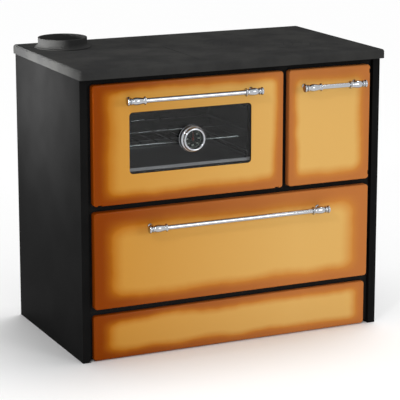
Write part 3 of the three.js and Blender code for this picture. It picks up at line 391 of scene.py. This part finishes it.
def dress(name, mesh, material, node, smooth, instead):
    """Puts a finished mesh in the scene with its material, its body and even shading."""
    mesh.materials.clear()
    mesh.materials.append(material)
    mesh.polygons.foreach_set("use_smooth", [True] * len(mesh.polygons))
    mesh.set_sharp_from_angle(angle=math.radians(smooth))
    piece = bpy.data.objects.new(name, mesh)
    bpy.context.scene.collection.objects.link(piece)
    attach(piece, body_of[node])
    even = piece.modifiers.new("even_shading", "WEIGHTED_NORMAL")
    even.keep_sharp = True
    if instead:
        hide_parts(node)


def middle(node):
    """The centre of a node's box."""
    low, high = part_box(node)
    return (low + high) / 2


def spun(shape, profile, axis, centre, sides=64):
    """Turns a profile of (radius, distance along the axis) in millimetres about an axis."""
    out = AXES["z"] if axis != "z" else AXES["x"]
    verts = [shape.verts.new(Vector(centre) + (out * r + AXES[axis] * h) * MM) for r, h in profile]
    edges = [shape.edges.new(pair) for pair in zip(verts, verts[1:])]
    bmesh.ops.spin(shape, geom=verts + edges, cent=centre, axis=AXES[axis], dvec=(0, 0, 0),
                   angle=math.tau, steps=sides, use_merge=True, use_duplicate=False)
    bmesh.ops.remove_doubles(shape, verts=shape.verts, dist=0.004 * MM)


def arc(centre, radius, start, end, steps=6):
    """Points of a round in a profile, from one angle to another in degrees."""
    angles = [math.radians(start + (end - start) * i / steps) for i in range(steps + 1)]
    return [(centre[0] + radius * math.cos(a), centre[1] + radius * math.sin(a)) for a in angles]


def wire(shape, start, end, radius, sides=12):
    """A straight round wire between two points."""
    run = end - start
    turn = run.to_track_quat("Z", "Y").to_matrix().to_4x4()
    bmesh.ops.create_cone(shape, cap_ends=True, segments=sides, radius1=radius, radius2=radius,
                          depth=run.length, matrix=Matrix.Translation((start + end) / 2) @ turn)


def flat_face(shape, points):
    """One flat face through points, with its corners and its edges still to be rounded."""
    corners = [shape.verts.new(point) for point in points]
    shape.faces.new(corners)
    return corners


def level_outline(low, high):
    """The four corners of a box's top."""
    return [(x, y, high.z) for x, y in
            ((low.x, low.y), (high.x, low.y), (high.x, high.y), (low.x, high.y))]


def ease(shape, edges, width, segments=3):
    """Rounds edges by a small width."""
    bmesh.ops.bevel(shape, geom=edges, offset=width, offset_type="OFFSET", segments=segments, profile=0.5,
                    affect="EDGES", material=-1, clamp_overlap=True)


def round_corners(shape, verts, radius, segments=8):
    """Rounds the corners of a flat outline."""
    bmesh.ops.bevel(shape, geom=verts, offset=radius, offset_type="OFFSET", segments=segments, profile=0.5,
                    affect="VERTICES", material=-1)


def drawn_out(shape, edges, vector):
    """Draws a row of edges out along a vector, and gives the new row."""
    made = bmesh.ops.extrude_edge_only(shape, edges=edges)["geom"]
    verts = {g for g in made if isinstance(g, bmesh.types.BMVert)}
    bmesh.ops.translate(shape, verts=list(verts), vec=vector)
    return [e for e in shape.edges if e.verts[0] in verts and e.verts[1] in verts]


def softened(node, material, width, corner=30, smooth=50):
    """A node's own shape with its flat faces whole again and its sharp edges rounded."""
    shape = bmesh.new()
    shape.from_mesh(nodes[node].data)
    bmesh.ops.remove_doubles(shape, verts=shape.verts, dist=0.01 * MM)
    bmesh.ops.dissolve_limit(shape, angle_limit=math.radians(1), verts=shape.verts, edges=shape.edges)
    sharp = [e for e in shape.edges
             if len(e.link_faces) == 2 and e.calc_face_angle(0) > math.radians(corner)]
    ease(shape, sharp, width * MM, 2)
    gather(node + "_eased", shape, material, node, smooth)


photographer()
studio_air()
sheet_of("floor", "#FDFDFD", (0, 0, 0), 15)
black_flag()
skylight("ceiling", (-8, 14, 0), 1.25, 30)
softbox("left_gridded", (-1.7, 0.3, 0.8), (-0.48, 0.1, 0.8), (0.4, 0.4), 6, 34)
softbox("left_spark", (-2.4, -2.6, 2.6), (-0.15, -0.27, 0.65), (0.4, 0.4), 2, 60)
softbox("front_fill", (1.6, -4.2, 1.7), (0.1, -0.25, 0.5), (1.2, 1.2), 4, 60)

paint = powder_coated_steel()
hob_iron = blacked_cast_iron()
rough_iron = rough_cast_iron()
chrome = chrome_plated_brass()
sheet = aluminised_steel()
zinc = zinc_plated_steel()
oven_black = speckled_oven_enamel()
brick = fireclay()
rope = glass_fibre_rope()
wool = mineral_wool()
dial_black = lacquered_aluminium("printed_dial_black", "#0F1011", "#151617")
dial_white = lacquered_aluminium("printed_dial_white", "#C9C9C3", "#D8D8D2")
pointer_red = lacquered_aluminium("pointer_red", "#6E2015", "#7E2B1C")
window_glass = plate_glass("grey_ceramic_glass", "#E8E8E8", 1.25)
gauge_glass = plate_glass("clear_borosilicate_glass", "#F2F5F4", 1.2)

# ---------------------------------------------------------------- enamel fronts
FRONT_CORNER, FRONT_ROLL, FRONT_SHEET = 9 * MM, 5 * MM, 2 * MM
GLASS_LAP = 12 * MM
WINDOW_RIM, WINDOW_ROLL = 2.2 * MM, 1.4 * MM
HINGE_LUG, HINGE_GAP = 10 * MM, 1.5 * MM
WINDOW_CORNER = 11 * MM


def slotted(shape, low, high):
    """Cuts a box-shaped slot out of the sheet."""
    def reached(face):
        return all(min(v.co[i] for v in face.verts) < high[i] and max(v.co[i] for v in face.verts) > low[i]
                   for i in range(3))

    for axis, way in enumerate(AXES.values()):
        for end in (low, high):
            near = [f for f in shape.faces if reached(f)]
            held = near + list({e for f in near for e in f.edges}) + list({v for f in near for v in f.verts})
            bmesh.ops.bisect_plane(shape, geom=held, dist=0.01 * MM, plane_co=way * end[axis], plane_no=way)
    inside = [f for f in shape.faces
              if all(low[i] < f.calc_center_median()[i] < high[i] for i in range(3))]
    bmesh.ops.delete(shape, geom=inside, context="FACES")


def pressed_front(name, node, reach, window=None, slots=()):
    """A pressed sheet front: rolled edges, turned-back sides, a flanged window, and slots for hinge lugs."""
    low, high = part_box(node)
    shape = bmesh.new()
    corners = flat_face(shape, [(x, low.y, z) for x, z in (
        (low.x, low.z), (high.x, low.z), (high.x, high.z), (low.x, high.z))])
    round_corners(shape, corners, FRONT_CORNER)
    rim = list(shape.edges)
    drawn_out(shape, rim, (0, high.y - low.y, 0))
    ease(shape, rim, FRONT_ROLL, 6)
    face = max(shape.faces, key=lambda f: f.calc_area() * (abs(f.normal.y) > 0.99))
    if window:
        cut_window(shape, face, low, high, window)
    bmesh.ops.recalc_face_normals(shape, faces=shape.faces)
    face = max(shape.faces, key=lambda f: f.calc_area() * (abs(f.normal.y) > 0.99))
    if face.normal.y > 0:
        bmesh.ops.reverse_faces(shape, faces=shape.faces)
    for slot_low, slot_high in slots:
        slotted(shape, slot_low, slot_high)
    bmesh.ops.solidify(shape, geom=shape.faces[:], thickness=FRONT_SHEET)
    gather(name, shape, shaded_enamel(name + "_enamel", low, high, reach), node, 30)


def cut_window(shape, face, low, high, window):
    """Opens a round-cornered window in the face and turns its rim back."""
    (x0, x1), (z0, z1) = window
    bmesh.ops.inset_region(shape, faces=[face], thickness=1 * MM, use_even_offset=True)
    old = FRONT_CORNER - FRONT_ROLL - 1 * MM
    inset = FRONT_ROLL + 1 * MM + old
    for vert in face.verts:
        right, top = vert.co.x > (low.x + high.x) / 2, vert.co.z > (low.z + high.z) / 2
        centre = Vector((high.x - inset if right else low.x + inset, 0,
                         high.z - inset if top else low.z + inset))
        way = (Vector((vert.co.x, 0, vert.co.z)) - centre) / old
        vert.co.x = (x1 - WINDOW_CORNER if right else x0 + WINDOW_CORNER) + way.x * WINDOW_CORNER
        vert.co.z = (z1 - WINDOW_CORNER if top else z0 + WINDOW_CORNER) + way.z * WINDOW_CORNER
    rim = list(face.edges)
    bmesh.ops.delete(shape, geom=[face], context="FACES_ONLY")
    drawn_out(shape, rim, (0, WINDOW_RIM, 0))
    ease(shape, rim, WINDOW_ROLL, 3)


def lug_slot(pin, door, axis, edge, first):
    """The slot in a door's turned-back side for the lug at one end of a hinge pin."""
    low, high = (corner.copy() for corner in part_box(door))
    pin_low, pin_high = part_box(pin)
    start = pin_low[axis] if first else pin_high[axis] - HINGE_LUG
    low[axis], high[axis] = start - HINGE_GAP, start + HINGE_LUG + HINGE_GAP
    side = 2 if axis == 0 else 0
    if edge == "foot":
        high[side] = low[side] + 2 * FRONT_SHEET
        low[side] -= HINGE_GAP
    else:
        low[side] = high[side] - 2 * FRONT_SHEET
        high[side] += HINGE_GAP
    low.y -= HINGE_GAP
    high.y += HINGE_GAP
    return low, high


pane_low, pane_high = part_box("oven_outer_glass")
oven_window = ((pane_low.x + GLASS_LAP, pane_high.x - GLASS_LAP),
               (pane_low.z + GLASS_LAP, pane_high.z - GLASS_LAP))
# Reaches in millimetres from the left, right, lower and upper edges: partly the spray, partly painted light,
# since the upper reaches are kept short so that the upper rims, which lie in shade, come out paler.
pressed_front("oven_door_front", "oven_door_panel", (95, 48, 56, 42), oven_window, (
    lug_slot("oven_hinge_pin_left", "oven_door_panel", 0, "foot", True),
    lug_slot("oven_hinge_pin_right", "oven_door_panel", 0, "foot", False)))
pressed_front("fire_door_front", "fire_door_panel", (45, 60, 62, 66), None, (
    lug_slot("fire_hinge_pin_lower", "fire_door_panel", 2, "right", True),
    lug_slot("fire_hinge_pin_upper", "fire_door_panel", 2, "right", False)))
pressed_front("drawer_enamel_front", "drawer_front", (100, 105, 66, 88))
pressed_front("plinth_front", "plinth", (85, 66, 44, 44))


# ---------------------------------------------------------------- turned handles
BAR_BEHIND_TIP = 12 * MM
POST_FROM_TIP = 20 * MM
HANDLE_END = [
    (0, 0), (5.5, 0.1), *arc((8.2, 3.6), 3.5, -75, 80, 7), (9.4, 7.6), (7.6, 8.6), (7.5, 10),
    *arc((8.6, 12.2), 1.9, -90, 90, 6), (7.5, 14.5), (7.3, 16.2), (8.4, 17.6), (9.9, 20.5), (10.8, 25),
    (11, 29.5), (10.7, 34), (9.9, 40), (8.9, 45), (8.2, 48.6), (8.6, 50.6), (10.2, 52),
    *arc((10.4, 54.4), 1.6, -60, 90, 5), (7.3, 56.4), (7.2, 50), (0, 50),
]


def turned_handle(door):
    """A polished bar held in two turned ends, each on a post that stands on the enamel."""
    for side, tip, inward in (("left", 0, 1), ("right", 1, -1)):
        node = f"{door}_handle_{side}_end"
        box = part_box(node)
        centre = Vector((box[tip].x, box[0].y + BAR_BEHIND_TIP, (box[0].z + box[1].z) / 2))
        foot = (box[1].y - centre.y) / MM
        shape = bmesh.new()
        spun(shape, [(r, inward * h) for r, h in HANDLE_END], "x", centre, 48)
        spun(shape, [(0, 4), (4.6, 5), (4.2, foot - 7), (4.8, foot - 4.6), (7.0, foot - 2.4),
                     (7.5, foot - 1.6), (7.5, foot), (0, foot)],
             "y", centre + Vector((inward * POST_FROM_TIP, 0, 0)), 32)
        gather(f"{door}_handle_{side}_turned_end", shape, chrome, node, 50)
    node = f"{door}_handle_bar"
    low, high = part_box(node)
    length = (high.x - low.x) / MM
    shape = bmesh.new()
    spun(shape, [(0, 0), (6.6, 0), (6.95, 0.4), (6.95, length - 0.4), (6.6, length), (0, length)], "x",
         Vector((low.x, middle(node).y, middle(node).z)), 48)
    gather(f"{door}_handle_polished_bar", shape, chrome, node)


for door in ("oven", "fire", "drawer"):
    turned_handle(door)


# ---------------------------------------------------------------- oven thermometer
CASE_PROFILE = [
    (0, 27), (37.6, 27), (39.5, 25.4), (39.5, 24.6), (38.9, 24), (39.1, 21), *arc((31.2, 16), 7.8, 20, -62, 8),
    (34.2, 7.4), (33.4, 6.6), *arc((30.2, 3.4), 3.3, 30, -180, 12), (26.7, 4.6), (28.9, 5.2), (28.9, 19),
    (0, 19),
]
LENS_PROFILE = [(0, 0), (10, 0.05), (20, 0.25), (26.6, 0.6), (26.6, 1.9), (20, 1.6), (10, 1.45), (0, 1.4)]
DIAL_SWEEP, DIAL_STEPS, STEPS_PER_FIGURE, DEGREES_PER_STEP = 270, 30, 5, 10
FIGURE_HEIGHT, FIGURE_RADIUS = 5.6, 18.6


def thermometer():
    """A spun chrome case with a rolled bezel, a printed dial, a pointer and a lens."""
    low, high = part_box("thermometer_case")
    at = Vector((middle("thermometer_case").x, low.y, middle("thermometer_case").z))
    shape = bmesh.new()
    spun(shape, CASE_PROFILE, "y", at, 96)
    reach = (high.y - low.y) / MM
    spun(shape, [(0, 26), (4.5, 26), (4.5, reach - 1.5), (3.2, reach), (0, reach)], "y", at, 24)
    gather("thermometer_spun_case", shape, chrome, "thermometer_case", 40)

    face = Vector((at.x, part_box("thermometer_dial")[0].y, at.z))
    shape = bmesh.new()
    spun(shape, [(0, 0), (28.2, 0), (28.7, 0.5), (28.7, 2), (0, 2)], "y", face, 64)
    gather("thermometer_printed_dial", shape, dial_black, "thermometer_dial")
    scale_print(face)

    shape = bmesh.new()
    spun(shape, LENS_PROFILE, "y", Vector((at.x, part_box("thermometer_lens")[0].y, at.z)), 64)
    gather("thermometer_domed_lens", shape, gauge_glass, "thermometer_lens")

    needle_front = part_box("thermometer_needle")[0].y
    shape = bmesh.new()
    outline = [(-0.9, -7), (0.9, -7), (0.7, 12), (0.25, 20.9), (-0.25, 20.9), (-0.7, 12)]
    flat_face(shape, [(at.x + x * MM, needle_front + 1.1 * MM, at.z + z * MM) for x, z in outline])
    thick = bmesh.ops.extrude_face_region(shape, geom=shape.faces[:])["geom"]
    bmesh.ops.translate(shape, verts=[g for g in thick if isinstance(g, bmesh.types.BMVert)],
                        vec=(0, 1.0 * MM, 0))
    gather("thermometer_pointer", shape, pointer_red, "thermometer_needle")
    shape = bmesh.new()
    spun(shape, [(0, 0), (1.6, 0.15), (2.6, 0.7), (2.95, 1.4), (2.95, 3.3), (0, 3.3)], "y",
         Vector((at.x, needle_front, at.z)), 32)
    gather("thermometer_pointer_hub", shape, pointer_red, "thermometer_needle", instead=False)


def scale_print(face):
    """The dial's printed ring, its marks every 10 degrees and its figures every 50."""
    shape = bmesh.new()
    print_front = -0.12
    spun(shape, [(26.2, 0), (26.2, print_front), (26.6, print_front), (26.6, 0)], "y", face, 64)
    for step in range(DIAL_STEPS + 1):
        turn = Matrix.Rotation(math.radians(DIAL_SWEEP * step / DIAL_STEPS), 4, "Y")
        long, wide = (3.6, 0.7) if step % STEPS_PER_FIGURE == 0 else (2.0, 0.35)
        bmesh.ops.create_cube(shape, size=1, matrix=Matrix.Translation(face + turn @ Vector((
            0, print_front / 2 * MM, (25.6 - long / 2) * MM))) @ turn @ Matrix.Diagonal((
                wide * MM, -print_front * MM, long * MM, 1)))
    for step in range(0, DIAL_STEPS + 1, STEPS_PER_FIGURE):
        angle = math.radians(DIAL_SWEEP * step / DIAL_STEPS)
        text = bpy.data.curves.new("figure", "FONT")
        text.body = str(step * DEGREES_PER_STEP)
        text.size = FIGURE_HEIGHT
        text.align_x = text.align_y = "CENTER"
        text.extrude = 0.05
        figure = bpy.data.objects.new("figure", text)
        flat = bpy.data.meshes.new_from_object(figure)
        spot = face + Vector((math.sin(angle) * FIGURE_RADIUS, -0.07, math.cos(angle) * FIGURE_RADIUS)) * MM
        upright = Matrix.Rotation(math.radians(90), 4, "X")
        flat.transform(Matrix.Translation(spot) @ upright @ Matrix.Scale(MM, 4))
        shape.from_mesh(flat)
        bpy.data.objects.remove(figure)
        bpy.data.meshes.remove(flat)
        bpy.data.curves.remove(text)
    gather("thermometer_scale", shape, dial_white, "thermometer_dial", instead=False)


thermometer()


# ---------------------------------------------------------------- cast hob
DISC_SEAT, RING_PITCH, RING_COUNT, RING_FIT = 54, 27, 4, 0.3
STEP_WIDTH, STEP_DROP, STEP_UNDER = 6, 4.5, 4.2
RING_HEIGHT, RING_ROUND, PLATE_ROUND = 8.7, 0.9, 1.1
COLLAR_PROFILE = [
    (67, 0), (84.2, 0), (85, 0.8), (85, 1.8), (84.4, 2.4), (81, 3.2), (77.6, 5.2), (75, 8), (73.8, 11.2),
    (73.5, 14), (73.5, 27.6), *arc((72.4, 28.6), 1.1, 0, 90, 4), *arc((68.1, 28.6), 1.1, 90, 180, 4), (67, 0),
]


def cast_plate():
    """The right hob plate: a ground plate with an eye, and a step in the eye for the widest ring."""
    low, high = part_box("right_hob_plate")
    centre = middle("hob_ring_4")
    eye_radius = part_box("hob_ring_4")[1].x - centre.x + RING_FIT * MM
    shape = bmesh.new()
    round_corners(shape, flat_face(shape, level_outline(low, high)), 6.7 * MM, 6)
    outer = list(shape.edges)
    bmesh.ops.delete(shape, geom=shape.faces[:], context="FACES_ONLY")
    eye = bmesh.ops.create_circle(shape, cap_ends=False, radius=eye_radius, segments=144,
                                  matrix=Matrix.Translation((centre.x, centre.y, high.z)))["verts"]
    inner = list({e for v in eye for e in v.link_edges})
    bmesh.ops.triangle_fill(shape, use_beauty=True, edges=outer + inner)
    outer_foot = drawn_out(shape, outer, (0, 0, low.z - high.z))
    step = drawn_out(shape, inner, (0, 0, -STEP_DROP * MM))
    shelf = drawn_out(shape, step, (0, 0, 0))
    shelf_verts = list({v for e in shelf for v in e.verts})
    narrow = (eye_radius - STEP_WIDTH * MM) / eye_radius
    bmesh.ops.scale(shape, verts=shelf_verts, vec=(narrow, narrow, 1),
                    space=Matrix.Translation((-centre.x, -centre.y, 0)))
    eye_foot = drawn_out(shape, shelf, (0, 0, low.z - high.z + STEP_DROP * MM))
    bmesh.ops.triangle_fill(shape, use_beauty=True, edges=outer_foot + eye_foot)
    ease(shape, outer + inner, PLATE_ROUND * MM, 3)
    gather("right_plate_with_eye", shape, hob_iron, "right_hob_plate", 40)


def hob_ring(node, inner, outer):
    """A ring of Z section: it rests on the step of the next one out and carries the next one in."""
    centre = middle(node)
    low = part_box(node)[0].z
    round_from = RING_HEIGHT - RING_ROUND
    profile = [(outer - STEP_WIDTH, 0), (outer - STEP_WIDTH, STEP_DROP), (outer, STEP_DROP),
               (outer, round_from), *arc((outer - RING_ROUND, round_from), RING_ROUND, 0, 90, 3)]
    if inner:
        profile += [*arc((inner + RING_ROUND, round_from), RING_ROUND, 90, 180, 3), (inner, STEP_UNDER),
                    (inner - STEP_WIDTH, STEP_UNDER), (inner - STEP_WIDTH, 0), (outer - STEP_WIDTH, 0)]
    else:
        profile = [(0, 0)] + profile + [(0, RING_HEIGHT)]
    shape = bmesh.new()
    spun(shape, profile, "z", Vector((centre.x, centre.y, low)), 144)
    gather(node + "_turned", shape, hob_iron, node, 35)


def flue_spigot():
    """The round collar for the stove pipe, on a flared foot."""
    centre = middle("flue_collar")
    shape = bmesh.new()
    spun(shape, COLLAR_PROFILE, "z", Vector((centre.x, centre.y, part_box("flue_collar")[0].z)), 96)
    gather("flue_spigot", shape, hob_iron, "flue_collar", 40)


cast_plate()
for i in range(1, RING_COUNT + 1):
    seat = DISC_SEAT + RING_PITCH * (i - 1)
    hob_ring(f"hob_ring_{i}", seat, seat + RING_PITCH - RING_FIT)
hob_ring("hob_disc", 0, DISC_SEAT - RING_FIT)
softened("hob_frame", hob_iron, 0.8)
softened("left_hob_plate", hob_iron, 0.6)

flue_spigot()


# ---------------------------------------------------------------- oven inside
RACK_ROD, RACK_WIRE, WIRE_PITCH, WIRES_EACH_SIDE = 3 * MM, 2 * MM, 50 * MM, 4
CLAMP_HEIGHT, CLAMP_SHEET, CLAMP_UP = 9 * MM, 1.2 * MM, 10 * MM
TRAY_CORNER, TRAY_LIP, TRAY_DEPTH, TRAY_SHEET = 40 * MM, 9 * MM, 25 * MM, 1.2 * MM


def rod_rack():
    """A chromed rack: a frame of thick rod with thinner wires laid over it."""
    low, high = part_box("oven_rack")
    rod, thin = RACK_ROD, RACK_WIRE
    z, wire_z = low.z + rod, low.z + 7 * MM
    x0, x1, y0, y1 = low.x + rod, high.x - rod, low.y + rod, high.y - rod
    shape = bmesh.new()
    for y in (y0, y1, (y0 + y1) / 2):
        wire(shape, Vector((x0, y, z)), Vector((x1, y, z)), rod)
    for x in (x0, x1):
        wire(shape, Vector((x, y0, z)), Vector((x, y1, z)), rod)
        for y in (y0, y1):
            bmesh.ops.create_icosphere(shape, subdivisions=2, radius=rod,
                                       matrix=Matrix.Translation((x, y, z)))
    centre = middle("oven_rack").x
    for i in range(-WIRES_EACH_SIDE, WIRES_EACH_SIDE + 1):
        x = centre + i * WIRE_PITCH
        tips = [Vector((x, y, wire_z)) for y in (low.y + 2.2 * MM, high.y - 2.2 * MM)]
        wire(shape, *tips, thin, 10)
        for tip in tips:
            bmesh.ops.create_icosphere(shape, subdivisions=2, radius=thin * 1.05,
                                       matrix=Matrix.Translation(tip))
    gather("oven_wire_rack", shape, chrome, "oven_rack", 60)


def glass_clamp():
    """The strip that holds the inner glass along its foot, with a rolled top and a screw at each end."""
    low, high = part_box("oven_inner_glass")
    shape = bmesh.new()
    at = Vector(((low.x + high.x) / 2, low.y - 1.0 * MM, low.z + CLAMP_UP))
    strip = bmesh.ops.create_cube(shape, size=1, matrix=Matrix.Translation(at) @ Matrix.Diagonal(
        (high.x - low.x - 8 * MM, CLAMP_SHEET, CLAMP_HEIGHT, 1)))["verts"]
    ease(shape, list({e for v in strip for e in v.link_edges}), 0.4 * MM, 2)
    wire(shape, Vector((low.x + 5 * MM, low.y - 1.7 * MM, low.z + 14.4 * MM)),
         Vector((high.x - 5 * MM, low.y - 1.7 * MM, low.z + 14.4 * MM)), 1.2 * MM, 16)
    for x in (low.x + 16 * MM, high.x - 16 * MM):
        spun(shape, [(0, -0.9), (1.6, -0.8), (2.5, -0.2), (2.6, 0.2), (2.6, 1.2)], "y",
             Vector((x, low.y - 1.9 * MM, low.z + 9.5 * MM)), 20)
    gather("inner_glass_clamp", shape, sheet, "oven_inner_glass", 40, instead=False)


def pressed_tray():
    """A pressed steel tray with a rolled rim."""
    low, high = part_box("oven_tray")
    shape = bmesh.new()
    round_corners(shape, flat_face(shape, level_outline(low, high)), TRAY_CORNER, 10)
    rim = list(shape.edges)
    face = shape.faces[:][0]
    bmesh.ops.inset_region(shape, faces=[face], thickness=TRAY_LIP, use_even_offset=True)
    lip = list(face.edges)
    made = bmesh.ops.extrude_face_region(shape, geom=[face])["geom"]
    floor = [g for g in made if isinstance(g, bmesh.types.BMFace)]
    bmesh.ops.delete(shape, geom=[face], context="FACES_ONLY")
    bmesh.ops.translate(shape, verts=floor[0].verts[:], vec=(0, 0, -TRAY_DEPTH))
    drawn_out(shape, rim, (0, 0, -3.4 * MM))
    ease(shape, rim, 2 * MM, 4)
    ease(shape, [e for e in lip if e.is_valid], 2 * MM, 4)
    bmesh.ops.recalc_face_normals(shape, faces=shape.faces)
    widest = max(shape.faces, key=lambda f: f.calc_area())
    if widest.normal.z < 0:
        bmesh.ops.reverse_faces(shape, faces=shape.faces)
    bmesh.ops.solidify(shape, geom=shape.faces[:], thickness=TRAY_SHEET)
    gather("oven_pressed_tray", shape, sheet, "oven_tray", 40)


rod_rack()
glass_clamp()
pressed_tray()
softened("oven_box", oven_black, 0.6)
softened("oven_outer_glass", window_glass, 0.6)
softened("oven_inner_glass", gauge_glass, 0.6)
softened("oven_door_lining", rough_iron, 0.8)
softened("oven_door_seal", rope, 2.6)
softened("oven_baffle", sheet, 0.4)
softened("smoke_jacket", sheet, 0.4)
softened("insulation_wrap", wool, 2.0)

# ---------------------------------------------------------------- firebox
for node in ("left_firebrick", "right_firebrick", "rear_firebrick"):
    softened(node, brick, 0.8)
softened("firebox_casing", rough_iron, 0.8)
softened("fire_grate", rough_iron, 1.2)
softened("ash_pan", sheet, 0.3)
softened("air_slide", sheet, 0.3)
softened("fire_door_lining", rough_iron, 0.8)
softened("fire_door_seal", rope, 2.6)
softened("fire_door_insulation", wool, 1.5)

# ---------------------------------------------------------------- body
SCREW_HEAD = [(0, 1.2), (0.7, 1.2), (1.0, 2.3), (1.9, 2.1), (3.1, 1.5), (3.8, 0.5), (3.8, 0)]
SCREWS_DOWN, SCREW_FROM_SIDE, SCREW_FROM_END = 5, 9 * MM, 40 * MM


def rear_screws():
    """Pan-head screws down both edges of the rear panel, each with a small round recess."""
    low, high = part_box("rear_panel")
    shape = bmesh.new()
    pitch = (high.z - low.z - 2 * SCREW_FROM_END) / (SCREWS_DOWN - 1)
    for x in (low.x + SCREW_FROM_SIDE, high.x - SCREW_FROM_SIDE):
        for step in range(SCREWS_DOWN):
            spun(shape, SCREW_HEAD, "y", Vector((x, high.y, low.z + SCREW_FROM_END + step * pitch)), 24)
    gather("rear_panel_screws", shape, zinc, "rear_panel", instead=False)


for node in ("left_side_panel", "right_side_panel", "rear_panel", "cabinet_floor"):
    softened(node, paint, 0.7)
softened("front_frame", rough_iron, 0.7)
rear_screws()
for node in ("inner_deck", "drawer_box", "left_drawer_runner", "right_drawer_runner"):
    softened(node, sheet, 0.4)
for node in ("oven_hinge_pin_left", "oven_hinge_pin_right", "fire_hinge_pin_lower", "fire_hinge_pin_upper"):
    softened(node, zinc, 0.4, corner=60)

# ---------------------------------------------------------------- end
bpy.context.scene.view_settings.view_transform = "Standard"
